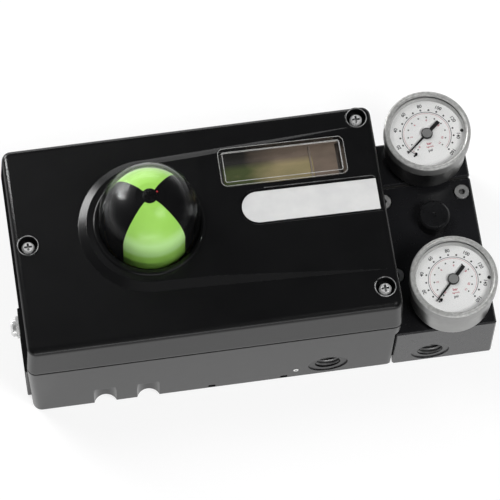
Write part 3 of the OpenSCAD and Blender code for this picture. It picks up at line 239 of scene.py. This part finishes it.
def clear(name, tint, rough, mirror, rise=5, edge=0.0, glow=0.0):
    """A clear sheet with reflections that grow at a slant and, where asked, pale edges painted on as a
    highlight.
    """
    mat, tree, shader = start_material(name)
    smudges = noise(tree, SMUDGE_SCALE, 4)
    tree.links.new(between(tree, smudges, *rough), shader.inputs["Roughness"])
    tree.links.new(colours(tree, smudges, tint, (1, 1, 1)), shader.inputs["Base Color"])
    facing = tree.nodes.new("ShaderNodeLayerWeight")
    steep = tree.nodes.new("ShaderNodeMath")
    steep.operation = "POWER"
    steep.inputs[1].default_value = rise
    tree.links.new(facing.outputs["Facing"], steep.inputs[0])
    alpha = between(tree, steep.outputs["Value"], mirror, 1, 0, 1)
    shader.inputs["Metallic"].default_value = 1
    if edge:
        mask = rounded_edges(tree, edge)[1]
        alpha = scaled_sum(tree, mask, glow, alpha, clamped=True)
        tree.links.new(between(tree, mask, 1, EDGE_HIGHLIGHT_METALLIC, 0, 1), shader.inputs["Metallic"])
    tree.links.new(alpha, shader.inputs["Alpha"])
    return mat


def display(name, dim, lit, rough, fade=None):
    """A display's surface: painted shade on the left, painted light and streaks on the right.

    It may fade into other tones at the back.
    """
    mat, tree, shader = start_material(name)
    lit_side = between(tree, place_along(tree, "X"), 0, 1, *LIT_RANGE)
    streaks = scaled_sum(tree, noise(tree, STREAK_SCALE, 4, STREAK_STRETCH), STREAK_SHARE, lit_side)
    factor = between(tree, streaks, 0, 1, *STREAK_RANGE)
    colour = colours(tree, factor, dim, lit, 0, 1)
    if fade:
        start, end, far_dim, far_lit = fade
        share = between(tree, place_along(tree, "Y"), 0, 1, start, end)
        colour = mixed(tree, share, colour, colours(tree, factor, far_dim, far_lit, 0, 1))
    tree.links.new(colour, shader.inputs["Base Color"])
    tree.links.new(between(tree, noise(tree, DISPLAY_ROUGH_SCALE), *rough), shader.inputs["Roughness"])
    return mat


# Tray tones: dim is its painted shade, lit its painted light
TRAY_DIM = (0.03, 0.029, 0.027)
TRAY_LIT = (0.215, 0.165, 0.128)
LCD_FADE = 3.5 * MM
lcd_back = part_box("lcd_glass")[1].y
# Painted highlight: a paler band round the beacon's skirt, where light from the front falls; its heights
# and its colour
SKIRT_HIGHLIGHT = ((86.5 * MM, 90 * MM, 99 * MM, 103.5 * MM), (0.53, 0.87, 0.32))
LOOKS = {
    "housing_paint": surface(
        "housing_paint", (0.0055, 0.0055, 0.0058), (0.0068, 0.0068, 0.0071), (0.22, 0.25),
        grain=1800, bump=0.006, edge=0.5 * MM, worn=(0.05, 0.05, 0.052), recess=1.2 * MM, gloss=0.26,
        dull_left=True,
    ),
    "black_anodised": surface(
        "black_anodised", (0.0095, 0.0095, 0.0105), (0.012, 0.012, 0.0135), (0.24, 0.28),
        grain=2400, bump=0.006, edge=0.4 * MM, worn=(0.1, 0.1, 0.105),
    ),
    "dark_metal": surface(
        "dark_metal", (0.012, 0.012, 0.013), (0.02, 0.02, 0.021), (0.34, 0.5), 0.4, edge=0.2 * MM,
    ),
    "steel": surface(
        "steel", (0.84, 0.84, 0.84), (0.95, 0.95, 0.94), (0.22, 0.32), 0.42, grain=3000, bump=0.05,
        edge=0.25 * MM, recess=1.6 * MM,
    ),
    "gauge_steel": surface(
        "gauge_steel", (0.27, 0.27, 0.265), (0.33, 0.33, 0.325), (0.3, 0.38), 1.0, patch=40,
        grain=1800, bump=0.02, stretch=(1, 1, 6),
    ),
    "brass": surface("brass", (0.5, 0.34, 0.12), (0.62, 0.45, 0.18), (0.24, 0.36), 1.0),
    "rubber": surface("rubber", (0.014, 0.013, 0.012), (0.024, 0.023, 0.021), (0.62, 0.8), bump=0.2),
    "clear_plastic": clear("clear_plastic", (0.9, 0.92, 0.92), (0.12, 0.18), 0.008, 5),
    "window_plastic": clear("window_plastic", (0.85, 0.84, 0.8), (0.06, 0.14), 0.04, 5, 0.7 * MM, 0.75),
    "gauge_glass": clear("gauge_glass", (0.92, 0.93, 0.93), (0.01, 0.03), 0.035),
    "tray_plastic": display("tray_plastic", TRAY_DIM, TRAY_LIT, (0.35, 0.5)),
    "lcd": display(
        "lcd", (0.075, 0.095, 0.036), (0.37, 0.305, 0.165), (0.14, 0.24),
        (lcd_back - LCD_FADE, lcd_back, TRAY_DIM, TRAY_LIT),
    ),
    "plate": surface(
        "plate", (0.66, 0.66, 0.66), (0.74, 0.74, 0.73), (0.36, 0.5), patch=120, grain=3600,
        bump=0.05, edge=0.15 * MM,
    ),
    "board": surface("board", (0.015, 0.08, 0.025), (0.025, 0.12, 0.04), (0.3, 0.45)),
    "terminal_plastic": surface("terminal_plastic", (0.04, 0.17, 0.06), (0.06, 0.22, 0.08), (0.4, 0.55)),
    "black_plastic": surface(
        "black_plastic", (0.004, 0.004, 0.0044), (0.007, 0.007, 0.0075), (0.4, 0.5), grain=3000,
        bump=0.05, edge=0.25 * MM, gloss=0.06,
    ),
    "green_plastic": surface(
        "green_plastic", (0.325, 0.66, 0.095), (0.385, 0.73, 0.132), (0.3, 0.42), patch=50, grain=2200,
        bump=0.05, band=SKIRT_HIGHLIGHT,
    ),
    "sensor_plastic": surface("sensor_plastic", (0.04, 0.1, 0.22), (0.06, 0.14, 0.3), (0.4, 0.55)),
    "transducer_metal": surface(
        "transducer_metal", (0.27, 0.28, 0.29), (0.36, 0.37, 0.38), (0.3, 0.45), 0.8,
    ),
    "dial_white": surface(
        "dial_white", (0.86, 0.86, 0.85), (0.92, 0.92, 0.91), (0.4, 0.52), grain=3000, bump=0.03,
    ),
    "pointer_black": surface(
        "pointer_black", (0.008, 0.008, 0.008), (0.015, 0.015, 0.015), (0.4, 0.55), bump=0.05,
    ),
}
# Bezel steel with painted shade on its side walls
BEZEL_STEEL = surface(
    "bezel_steel", (0.4, 0.4, 0.39), (0.6, 0.6, 0.585), (0.3, 0.42), 0.35, patch=600, grain=2600,
    bump=0.08, sides=(0.24, 0.24, 0.235),
)
CAP_STEEL = surface(
    "cap_steel", (0.22, 0.22, 0.22), (0.3, 0.3, 0.295), (0.3, 0.4), 0.2, grain=2600, bump=0.06,
)
KNOB_BLACK = surface(
    "knob_black", (0.006, 0.006, 0.0065), (0.011, 0.011, 0.012), (0.24, 0.36), grain=3000, bump=0.04,
    edge=0.5 * MM, worn=(0.1, 0.1, 0.105),
)
SOCKET_STEEL = surface(
    "socket_steel", (0.4, 0.4, 0.395), (0.55, 0.55, 0.54), (0.28, 0.4), 0.5, patch=500, grain=3000,
    bump=0.05, edge=0.3 * MM, recess=2 * MM,
)
# Lighter bead colour, a painted highlight along the plate recess's edge
PLATE_EDGE_HIGHLIGHT = surface(
    "plate_edge_highlight", (0.025, 0.025, 0.025), (0.14, 0.14, 0.14), (0.18, 0.3), patch=160, bump=0.02,
)
# Pale bead colour, a painted highlight round the screw wells
WELL_RIM_HIGHLIGHT = surface(
    "well_rim_highlight", (0.02, 0.02, 0.02), (0.5, 0.5, 0.5), (0.2, 0.3), patch=220, bump=0.02,
)
# Nodes that look unlike the rest of their material slot
OWN_LOOKS = {
    "front_gauge_bezel": BEZEL_STEEL,
    "rear_gauge_bezel": BEZEL_STEEL,
    "filter_plug": KNOB_BLACK,
    "manifold_screws": SOCKET_STEEL,
}
PRINT_BLACK = surface("print_black", (0.012, 0.012, 0.013), (0.03, 0.03, 0.03), (0.5, 0.65))
PRINT_GREY = surface("print_grey", (0.1, 0.1, 0.1), (0.15, 0.15, 0.15), (0.5, 0.65))
PRINT_RED = surface("print_red", (0.42, 0.06, 0.09), (0.52, 0.1, 0.13), (0.5, 0.65))
CUT_METAL = surface(
    "cut_metal", (0.1, 0.1, 0.1), (0.2, 0.2, 0.2), (0.3, 0.45), 0.6, grain=3000, bump=0.05,
)
PALE_BAR = surface("pale_bar", (0.22, 0.18, 0.15), (0.3, 0.25, 0.21), (0.25, 0.4))
STRIP_BROWN = surface("strip_brown", (0.02, 0.015, 0.012), (0.045, 0.034, 0.027), (0.3, 0.45))
RIM_GREY = surface(
    "rim_grey", (0.46, 0.46, 0.455), (0.54, 0.54, 0.53), (0.35, 0.5), grain=2600, bump=0.03,
)
RED_PAINT = surface("red_paint", (0.55, 0.02, 0.03), (0.7, 0.04, 0.05), (0.3, 0.4))

for subpart in frame["record"]["subparts"]:
    mesh = nodes[subpart["node"]].data
    mesh.materials.clear()
    mesh.materials.append(OWN_LOOKS.get(subpart["node"], LOOKS[subpart["material_slot"]]))


# Mesh helpers

def add_piece(name, shape, mat, body, smooth=False):
    """Makes an object of a bmesh, gives it its material and lets it ride on a body."""
    bmesh.ops.recalc_face_normals(shape, faces=shape.faces)
    mesh = bpy.data.meshes.new(name)
    shape.to_mesh(mesh)
    shape.free()
    mesh.materials.append(mat)
    if smooth:
        mesh.shade_smooth()
    piece = bpy.data.objects.new(name, mesh)
    scene.collection.objects.link(piece)
    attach(piece, body)


def slab(shape, outline, place, height):
    """A flat closed solid: the outline's points in the place's XY plane, raised by height."""
    low = [shape.verts.new(place @ Vector((x, y, 0))) for x, y in outline]
    high = [shape.verts.new(place @ Vector((x, y, height))) for x, y in outline]
    shape.faces.new(low)
    shape.faces.new(high)
    for i in range(len(outline)):
        j = (i + 1) % len(outline)
        shape.faces.new((low[i], low[j], high[j], high[i]))


def circle(radius, centre=(0, 0), steps=20):
    """Points round a circle."""
    turns = [2 * math.pi * i / steps for i in range(steps)]
    return [(centre[0] + radius * math.cos(t), centre[1] + radius * math.sin(t)) for t in turns]


def lathe(shape, profile, place, steps=40):
    """A solid turned about the place's Z axis; the profile starts and ends on the axis."""
    rings = []
    for radius, height in profile:
        if radius == 0:
            rings.append([shape.verts.new(place @ Vector((0, 0, height)))] * steps)
        else:
            points = [Vector((x, y, height)) for x, y in circle(radius, steps=steps)]
            rings.append([shape.verts.new(place @ point) for point in points])
    for one, two in zip(rings, rings[1:]):
        for i in range(steps):
            j = (i + 1) % steps
            corners = list(dict.fromkeys((one[i], one[j], two[j], two[i])))
            if len(corners) > 2:
                shape.faces.new(corners)


def skin(shape, rows):
    """Faces between each closed row of points and the next."""
    for one, two in zip(rows, rows[1:]):
        for k in range(len(one)):
            j = (k + 1) % len(one)
            shape.faces.new((one[k], two[k], two[j], one[j]))


def ring(shape, section, place, steps=96):
    """A closed ring: the section's points, as radius and height, carried round the place's Z axis."""
    rows = []
    for i in range(steps):
        turned = place @ Matrix.Rotation(2 * math.pi * i / steps, 4, "Z")
        rows.append([shape.verts.new(turned @ Vector((radius, 0, height))) for radius, height in section])
    skin(shape, rows + rows[:1])


def bead(shape, path, radius, closed=False):
    """A round bead along a nearly level path of points; its ends are capped unless the path is closed."""
    section = circle(radius, steps=10)
    rows = []
    last = len(path) - 1
    for i, point in enumerate(path):
        before = path[i - 1] if i or closed else point
        after = path[0 if i == last else i + 1] if i < last or closed else point
        across = Vector((before.y - after.y, after.x - before.x, 0)).normalized()
        rows.append([shape.verts.new(point + a * across + Vector((0, 0, b))) for a, b in section])
    if closed:
        skin(shape, rows + rows[:1])
    else:
        skin(shape, rows)
        shape.faces.new(rows[0])
        shape.faces.new(rows[-1])


def rounded_bar(name, x, width, low_y, high_y, z, height, mat, slot=None):
    """A bar along Y with a rounded top."""
    bar = bmesh.new()
    half = width / 2
    turns = [math.pi * i / 8 for i in range(9)]
    section = [(half * math.cos(t), height - half * (1 - math.sin(t))) for t in turns]
    section = [(half, 0), *section, (-half, 0)]
    place = Matrix.Translation((x, high_y, z)) @ Matrix.Rotation(math.radians(90), 4, "X")
    slab(bar, section, place, high_y - low_y)
    add_piece(name, bar, mat, "housing")


STROKE = 0.02


def lettering(shape, words, size, place, height):
    """Raised figures, centred on the place, their strokes widened a little."""
    curve = bpy.data.curves.new("figures", "FONT")
    curve.body = words
    curve.align_x = "CENTER"
    curve.align_y = "CENTER"
    curve.extrude = 0.5
    curve.offset = STROKE
    maker = bpy.data.objects.new("figures", curve)
    scene.collection.objects.link(maker)
    bpy.context.view_layer.update()
    mesh = bpy.data.meshes.new_from_object(maker.evaluated_get(bpy.context.evaluated_depsgraph_get()))
    mesh.transform(Matrix.Diagonal((size, size, height, 1)) @ Matrix.Translation((0, 0, 0.5)))
    mesh.transform(place)
    shape.from_mesh(mesh)
    bpy.data.objects.remove(maker)
    bpy.data.curves.remove(curve)
    bpy.data.meshes.remove(mesh)


THREAD_HALF = 0.42


def thread(shape, place, radius, depth, pitch, length, steps=40):
    """A V thread that winds inwards from a hole's wall, along the place's Z axis."""
    count = int(length / pitch * steps)
    rows = []
    for i in range(count + 1):
        turn = 2 * math.pi * i / steps
        rise = pitch * i / steps
        fade = min(1, i / steps, (count - i) / steps)
        section = ((radius, -THREAD_HALF), (radius - fade * depth, 0), (radius, THREAD_HALF))
        rows.append([
            shape.verts.new(place @ Vector((r * math.cos(turn), r * math.sin(turn), rise + s * pitch)))
            for r, s in section
        ])
    skin(shape, rows)
    shape.faces.new(rows[0])
    shape.faces.new(rows[-1])


def cover_top(x, y):
    """Height of the cover's top at a place."""
    return nodes["cover"].ray_cast(Vector((x, y, 1)), Vector((0, 0, -1)))[1].z


# Gauge dials

DIAL_BELOW_LENS = 2.4 * MM
PRINT_T = 0.04 * MM
# The scale's first angle in degrees from the top, its last reading in psi, and psi in a bar
SCALE_START = 138.9
SCALE_TOP = 160
PSI_IN_BAR = 14.504
# Dots, figures and arcs: where they lie and how large they are
DOTS_AT = 13.14 * MM
DOT_R = 0.47 * MM
LABELS_AT = 15.35 * MM
LABEL_SIZE = 2.35 * MM
INNER_DOTS_AT = 9.25 * MM
INNER_DOT_R = 0.38 * MM
INNER_DOT_COUNT = 12
INNER_LABELS_AT = 7.6 * MM
INNER_LABEL_SIZE = 1.5 * MM
INNER_LABELS = (0, 2, 4, 6, 8, 10, 11)
GREY_ARC_AT = 11.85 * MM
GREY_ARC_W = 0.3 * MM
RED_ARC_AT = 11.2 * MM
RED_ARC_W = 0.13 * MM
# Units: words, size and place
BLACK_UNIT = ("psi", 2.0 * MM, (-0.2 * MM, -8.5 * MM, 0))
RED_UNITS = (("bar", 1.9 * MM, (0, -4.9 * MM, 0)), ("kg/cm2", 1.2 * MM, (0, -6.6 * MM, 0)))
# Pointer cap, peg, sleeve on the stop pin and the dial's rim; angles in degrees
CAP_R = 2.4 * MM
CAP_FOOT = 0.1 * MM
CAP_RISE = 0.25 * MM
PEG_TURN = -95
PEG_AT = 17.3 * MM
PEG_PROFILE = ((0, 0), (0.8 * MM, 0), (0.8 * MM, 0.4 * MM), (0.5 * MM, 0.6 * MM), (0, 0.65 * MM))
PIN_TURN = 141
PIN_AT = 12.2 * MM
PIN_R = 0.62 * MM
PIN_PROFILE = ((0, 0), (PIN_R, 0), (PIN_R, 1.55 * MM), (0.7 * PIN_R, 1.7 * MM), (0, 1.7 * MM))
RIM_SECTION = ((17.95 * MM, 0), (18.5 * MM, 2.2 * MM), (18.85 * MM, 2.2 * MM), (18.6 * MM, 0))


def scale_angle(value):
    """Angle of a reading, anticlockwise from the top of the dial."""
    return math.radians(SCALE_START * (1 - 2 * value / SCALE_TOP))


def around(angle, radius):
    """The place on the dial at an angle and a radius, turned to read outwards."""
    return Matrix.Rotation(angle, 4, "Z") @ Matrix.Translation((0, radius, 0))


def arc(shape, place, radius, width):
    """A thin printed arc over the scale's whole sweep."""
    turns = [scale_angle(SCALE_TOP * i / 72) for i in range(73)]
    inner = [(-radius * math.sin(t), radius * math.cos(t)) for t in turns]
    outer = [(x * (1 + width / radius), y * (1 + width / radius)) for x, y in inner]
    slab(shape, inner + outer[::-1], place, PRINT_T)


def print_unit(shape, dial, words, size, at):
    """A unit's name on the dial."""
    lettering(shape, words, size, dial @ Matrix.Translation(at), PRINT_T)


def dress_gauge(name, turn):
    """Prints a gauge's dial, adds its small fittings and caps its pointer."""
    low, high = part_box(f"{name}_gauge_lens")
    centre = (low + high) / 2
    centre.z = low.z - DIAL_BELOW_LENS
    dial = Matrix.Translation(centre) @ Matrix.Rotation(math.radians(turn), 4, "Z")

    black = bmesh.new()
    for value in range(0, SCALE_TOP + 1, 10):
        angle = scale_angle(value)
        slab(black, circle(DOT_R), dial @ around(angle, DOTS_AT), PRINT_T)
        if value and value % 20 == 0:
            lettering(black, str(value), LABEL_SIZE, dial @ around(angle, LABELS_AT), PRINT_T)
    for value in range(INNER_DOT_COUNT):
        place = dial @ around(scale_angle(value * PSI_IN_BAR), INNER_DOTS_AT)
        slab(black, circle(INNER_DOT_R), place, PRINT_T)
    print_unit(black, dial, *BLACK_UNIT)
    add_piece(f"{name}_dial_black", black, PRINT_BLACK, "housing")

    red = bmesh.new()
    arc(red, dial, RED_ARC_AT, RED_ARC_W)
    for value in INNER_LABELS:
        place = dial @ around(scale_angle(value * PSI_IN_BAR), INNER_LABELS_AT)
        lettering(red, str(value), INNER_LABEL_SIZE, place, PRINT_T)
    for unit in RED_UNITS:
        print_unit(red, dial, *unit)
    add_piece(f"{name}_dial_red", red, PRINT_RED, "housing")

    grey = bmesh.new()
    arc(grey, dial, GREY_ARC_AT, GREY_ARC_W)
    add_piece(f"{name}_dial_grey", grey, PRINT_GREY, "housing")

    rim = bmesh.new()
    ring(rim, RIM_SECTION, dial)
    add_piece(f"{name}_dial_rim", rim, RIM_GREY, "housing")

    peg = bmesh.new()
    lathe(peg, PEG_PROFILE, dial @ around(math.radians(PEG_TURN), PEG_AT), 24)
    add_piece(f"{name}_dial_peg", peg, LOOKS["rubber"], "housing", smooth=True)

    sleeve = bmesh.new()
    lathe(sleeve, PIN_PROFILE, dial @ around(math.radians(PIN_TURN), PIN_AT), 20)
    add_piece(f"{name}_pin_sleeve", sleeve, LOOKS["black_plastic"], "housing")

    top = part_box(f"{name}_gauge_pointer")[1].z
    cap = bmesh.new()
    domed = [(CAP_R * math.cos(t), CAP_FOOT + CAP_RISE * math.sin(t)) for t in (0, 0.4, 0.8, 1.2)]
    place = Matrix.Translation((centre.x, centre.y, top))
    lathe(cap, [(0, 0), (CAP_R, 0), *domed, (0, CAP_FOOT + CAP_RISE)], place)
    add_piece(f"{name}_pointer_cap", cap, CAP_STEEL, f"{name}_pointer", smooth=True)


FRONT_DIAL_TURN = 1.5
REAR_DIAL_TURN = 4.5
dress_gauge("front", FRONT_DIAL_TURN)
dress_gauge("rear", REAR_DIAL_TURN)


# Threads in the ports, listed with the slot of the wall around each

THREAD_DEPTH = 0.8 * MM
THREAD_PITCH = 1.6 * MM
THREAD_START = 1.2 * MM
THREADED = {
    "supply_port": "black_anodised",
    "output_port_1": "black_anodised",
    "output_port_2": "black_anodised",
    "vent_port": "housing_paint",
    "conduit_entry": "housing_paint",
}
for mount in frame["record"]["mounts"]:
    if mount["name"] in THREADED:
        out = Vector(mount["axis"])
        length = mount["dims"]["length_mm"] * MM
        mouth = Vector(mount["pos_m"]) + out * (length / 2 - THREAD_START)
        place = Matrix.Translation(mouth) @ (-out).to_track_quat("Z", "X").to_matrix().to_4x4()
        radius = mount["dims"]["r_mm"] * MM
        ridges = bmesh.new()
        thread(ridges, place, radius, THREAD_DEPTH, THREAD_PITCH, length - 2 * THREAD_START)
        add_piece(f"{mount['name']}_thread", ridges, CUT_METAL, "housing")


# Small details

# Dot on the beacon's crown, beside its screw
MARK_AT = 4.2 * MM
MARK_TURN = math.radians(24)
MARK_PROFILE = ((0, 0), (0.45 * MM, 0), (0.4 * MM, 0.1 * MM), (0, 0.14 * MM))
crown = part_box("indicator_beacon")[1].z
dot = bmesh.new()
place = Matrix.Translation((MARK_AT * math.cos(MARK_TURN), MARK_AT * math.sin(MARK_TURN), crown))
lathe(dot, MARK_PROFILE, place, 20)
add_piece("beacon_dot", dot, RED_PAINT, "shaft", smooth=True)

# Rounded lip on the pad, round the dome's foot
PAD_TOP = 80 * MM
DOME_R = 24 * MM
LIP_GAP = 0.45 * MM
LIP_W = 2.8 * MM
LIP_H = 1.0 * MM
LIP_R = DOME_R + LIP_GAP
lip_turns = [math.pi / 2 * i / 6 for i in range(7)]
lip_edge = [(LIP_R + LIP_W - LIP_H * (1 - math.cos(t)), LIP_H * math.sin(t)) for t in lip_turns]
lip = bmesh.new()
ring(lip, [(LIP_R, 0), *lip_edge, (LIP_R, LIP_H)], Matrix.Translation((0, 0, PAD_TOP)))
add_piece("dome_lip", lip, LOOKS["housing_paint"], "housing", smooth=True)

# Painted highlight: a lighter bead along the back edge of the plate's recess, bent forward at its right
# end
BEAD_R = 0.22 * MM
BEAD_BACK = 1.5 * MM
BEAD_START = 12 * MM
BEND_R = 2.2 * MM
plate_low, plate_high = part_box("name_plate")
bend_x = plate_high.x - BEND_R
edge_y = plate_high.y + BEAD_BACK
start_x = plate_low.x + BEAD_START
straight = [(start_x + (bend_x - start_x) * i / 30, edge_y) for i in range(30)]
bends = [math.radians(5 * i) for i in range(13)]
bent = [(bend_x + BEND_R * math.sin(t), edge_y - BEND_R * (1 - math.cos(t))) for t in bends]
edge = bmesh.new()
bead(edge, [Vector((x, y, cover_top(x, edge_y))) for x, y in straight + bent], BEAD_R)
add_piece("plate_recess_edge", edge, PLATE_EDGE_HIGHLIGHT, "housing", smooth=True)

# Painted highlight: pale beads round the rims of the cover screws' wells
RIM_AT = 4.95 * MM
RIM_BEAD_R = 0.2 * MM
SCREW_HEAD_R = 3 * MM
LEFT_SCREW_Y = -2.4 * MM
screws_low, screws_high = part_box("cover_screws")
left_x, right_x = screws_low.x + SCREW_HEAD_R, screws_high.x - SCREW_HEAD_R
front_y, back_y = screws_low.y + SCREW_HEAD_R, screws_high.y - SCREW_HEAD_R
rims = bmesh.new()
for site in ((left_x, LEFT_SCREW_Y), (right_x, front_y), (right_x, back_y)):
    spots = circle(RIM_AT, site, 60)
    bead(rims, [Vector((x, y, cover_top(x, y))) for x, y in spots], RIM_BEAD_R, closed=True)
add_piece("screw_well_rims", rims, WELL_RIM_HIGHLIGHT, "housing", smooth=True)

# Plug screw low in the base's front wall, left of the vent port
PLUG_X = 63.9 * MM
PLUG_Z = 9.0 * MM
PLUG_R = 1.3 * MM
PLUG_PROFILE = (
    (0, -1 * MM), (PLUG_R, -1 * MM), (PLUG_R, 0.1 * MM), (0.8 * PLUG_R, 0.3 * MM),
    (0.45 * PLUG_R, 0.3 * MM), (0.4 * PLUG_R, -0.4 * MM), (0, -0.6 * MM),
)
wall = nodes["base_housing"].ray_cast(Vector((PLUG_X, -1, PLUG_Z)), Vector((0, 1, 0)))[1]
plug = bmesh.new()
place = Matrix.Translation(wall) @ Matrix.Rotation(math.radians(90), 4, "X")
lathe(plug, PLUG_PROFILE, place, 24)
add_piece("base_plug", plug, LOOKS["steel"], "housing")

# Dark frame on three sides of the display, as wide as the window's clear rim
FRAME_SIDE = 2.4 * MM
FRAME_FRONT = 5.4 * MM
FRAME_T = 0.15 * MM
window_low, window_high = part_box("display_window")
tray_low, tray_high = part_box("display_tray")
tray_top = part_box("lcd_glass")[1].z
x0, x1 = tray_low.x, tray_high.x
y0, y1 = tray_low.y, tray_high.y
inner0, inner1 = window_low.x + FRAME_SIDE, window_high.x - FRAME_SIDE
inner_y = window_low.y + FRAME_FRONT
outline = (
    (x0, y0), (x1, y0), (x1, y1), (inner1, y1),
    (inner1, inner_y), (inner0, inner_y), (inner0, y1), (x0, y1),
)
border = bmesh.new()
slab(border, outline, Matrix.Translation((0, 0, tray_top)), FRAME_T)
add_piece("display_frame", border, LOOKS["black_plastic"], "housing")

# Divider and end strip on the display's tray
BAR_INSET = 3.2 * MM
DIVIDER_X = 81.9 * MM
DIVIDER_W = 0.9 * MM
DIVIDER_H = 0.7 * MM
STRIP_IN = 5.2 * MM
STRIP_W = 3.2 * MM
STRIP_H = 0.6 * MM
STRIP_SUNK = 0.2 * MM
inside_y = (window_low.y + BAR_INSET, window_high.y - BAR_INSET)
rounded_bar(
    "display_divider", DIVIDER_X, DIVIDER_W, *inside_y, tray_top, DIVIDER_H, PALE_BAR, "tray_plastic",
)
rounded_bar(
    "display_end_strip", window_high.x - STRIP_IN, STRIP_W, *inside_y, tray_top - STRIP_SUNK, STRIP_H,
    STRIP_BROWN, "black_plastic",
)


# Camera, floor and light

FRAME_PX = 500
SENSOR = 36
CAM_AZIMUTH = math.radians(-11.21)
CAM_ELEVATION = math.radians(67.5)
CAM_ROLL = math.radians(2.96)
CAM_DISTANCE = 1.9
CAM_FOCAL_PX = 3826.6
CAM_AIM = Vector((25.5, -6.5, 0)) * MM
CAM_ASIDE = 23.21 * MM
CAM_ABOVE = 20.34 * MM

back = Vector((
    math.sin(CAM_AZIMUTH) * math.cos(CAM_ELEVATION),
    -math.cos(CAM_AZIMUTH) * math.cos(CAM_ELEVATION),
    math.sin(CAM_ELEVATION),
))
level = Vector((math.cos(CAM_AZIMUTH), math.sin(CAM_AZIMUTH), 0))
upright = back.cross(level)
right = math.cos(CAM_ROLL) * level + math.sin(CAM_ROLL) * upright
up = math.cos(CAM_ROLL) * upright - math.sin(CAM_ROLL) * level
camera = bpy.data.objects.new("camera", bpy.data.cameras.new("camera"))
camera.data.sensor_width = SENSOR
camera.data.lens = CAM_FOCAL_PX / FRAME_PX * SENSOR
stand = CAM_AIM + CAM_DISTANCE * back + CAM_ASIDE * right + CAM_ABOVE * up
camera.matrix_world = Matrix.Translation(stand) @ Matrix((right, up, back)).transposed().to_4x4()
scene.collection.objects.link(camera)
scene.camera = camera

# The floor glows round the object, less with the distance from its middle
FLOOR_HALF = 3.0
FLOOR_DROP = 0.2 * MM
FLOOR_TONES = ((0.24, 0.24, 0.24), (0.27, 0.27, 0.27))
FLOOR_PATCH = 3
FLOOR_ROUGH = 0.9
FLOOR_GLOW = (0.78, 0.1)
GLOW_REACH = (0.24, 0.8)
floor_mat, floor_tree, floor_shader = start_material("floor")
floor_tree.links.new(
    colours(floor_tree, noise(floor_tree, FLOOR_PATCH), *FLOOR_TONES),
    floor_shader.inputs["Base Color"],
)
floor_coords = floor_tree.nodes.new("ShaderNodeTexCoord")
floor_reach = floor_tree.nodes.new("ShaderNodeVectorMath")
floor_reach.operation = "LENGTH"
floor_tree.links.new(floor_coords.outputs["Object"], floor_reach.inputs[0])
floor_tree.links.new(
    between(floor_tree, floor_reach.outputs["Value"], *FLOOR_GLOW, *GLOW_REACH),
    floor_shader.inputs["Emission Strength"],
)
floor_shader.inputs["Roughness"].default_value = FLOOR_ROUGH
floor_shader.inputs["Emission Color"].default_value = (1, 1, 1, 1)
floor_mesh = bpy.data.meshes.new("floor")
quarters = ((-1, -1), (1, -1), (1, 1), (-1, 1))
corners = [(x * FLOOR_HALF, y * FLOOR_HALF, -FLOOR_DROP) for x, y in quarters]
floor_mesh.from_pydata(corners, [], [(0, 1, 2, 3)])
floor_mesh.materials.append(floor_mat)
floor = bpy.data.objects.new("floor", floor_mesh)
scene.collection.objects.link(floor)


def softbox(name, direction, distance, width, height, power, seen):
    """A soft round lamp that faces the object: seen is light, mirror (only its reflection) or both."""
    lamp = bpy.data.lights.new(name, "AREA")
    lamp.shape = "ELLIPSE"
    lamp.size = width
    lamp.size_y = height
    lamp.energy = power
    box = bpy.data.objects.new(name, lamp)
    box.location = CAM_AIM + distance * Vector(direction).normalized()
    box.rotation_euler = Vector(direction).to_track_quat("Z", "Y").to_euler()
    box.visible_glossy = seen != "light"
    box.visible_diffuse = seen != "mirror"
    box.visible_camera = seen != "mirror"
    scene.collection.objects.link(box)


# Name, direction, distance, width, height, power and how it is seen
LAMPS = (
    ("left_light", (-0.64, 0.73, 0.25), 1.6, 0.75, 0.7, 19, "both"),
    ("key_glint", (0.37, -0.4, 0.84), 1.8, 0.7, 0.7, 4, "both"),
    ("key_light", (0.37, -0.4, 0.84), 1.75, 0.7, 0.7, 14, "light"),
    ("fill_light", (-0.3, 0.35, 0.88), 1.7, 0.8, 0.8, 9, "light"),
    ("right_light", (0.85, 0.2, 0.45), 1.7, 0.5, 0.5, 1.5, "light"),
    ("left_glint", (-0.6835, 0.3867, 0.6191), 0.2594, 0.023, 0.065, 0.15, "mirror"),
    ("left_sheen", (-0.106, 0.419, 0.902), 0.803, 0.2, 0.2, 0.04, "mirror"),
    ("back_light", (0.0, 0.98, 0.15), 1.8, 1.5, 0.5, 6, "both"),
    ("front_card", (-0.12, -0.99, 0.07), 1.6, 1.6, 0.5, 9, "both"),
    ("front_middle", (-0.12, -0.92, 0.37), 1.6, 1.6, 0.5, 0.8, "mirror"),
    ("front_top", (-0.1, -0.76, 0.64), 1.6, 1.6, 0.5, 0.5, "mirror"),
)
for lamp in LAMPS:
    softbox(*lamp)

SKY_COLOUR = (0.9, 0.95, 1, 1)
SKY_STRENGTH = 0.05
world = bpy.data.worlds.new("studio")
world.use_nodes = True
scene.world = world
sky = world.node_tree.nodes["Background"]
sky.inputs["Color"].default_value = SKY_COLOUR
sky.inputs["Strength"].default_value = SKY_STRENGTH
scene.view_settings.view_transform = "Standard"
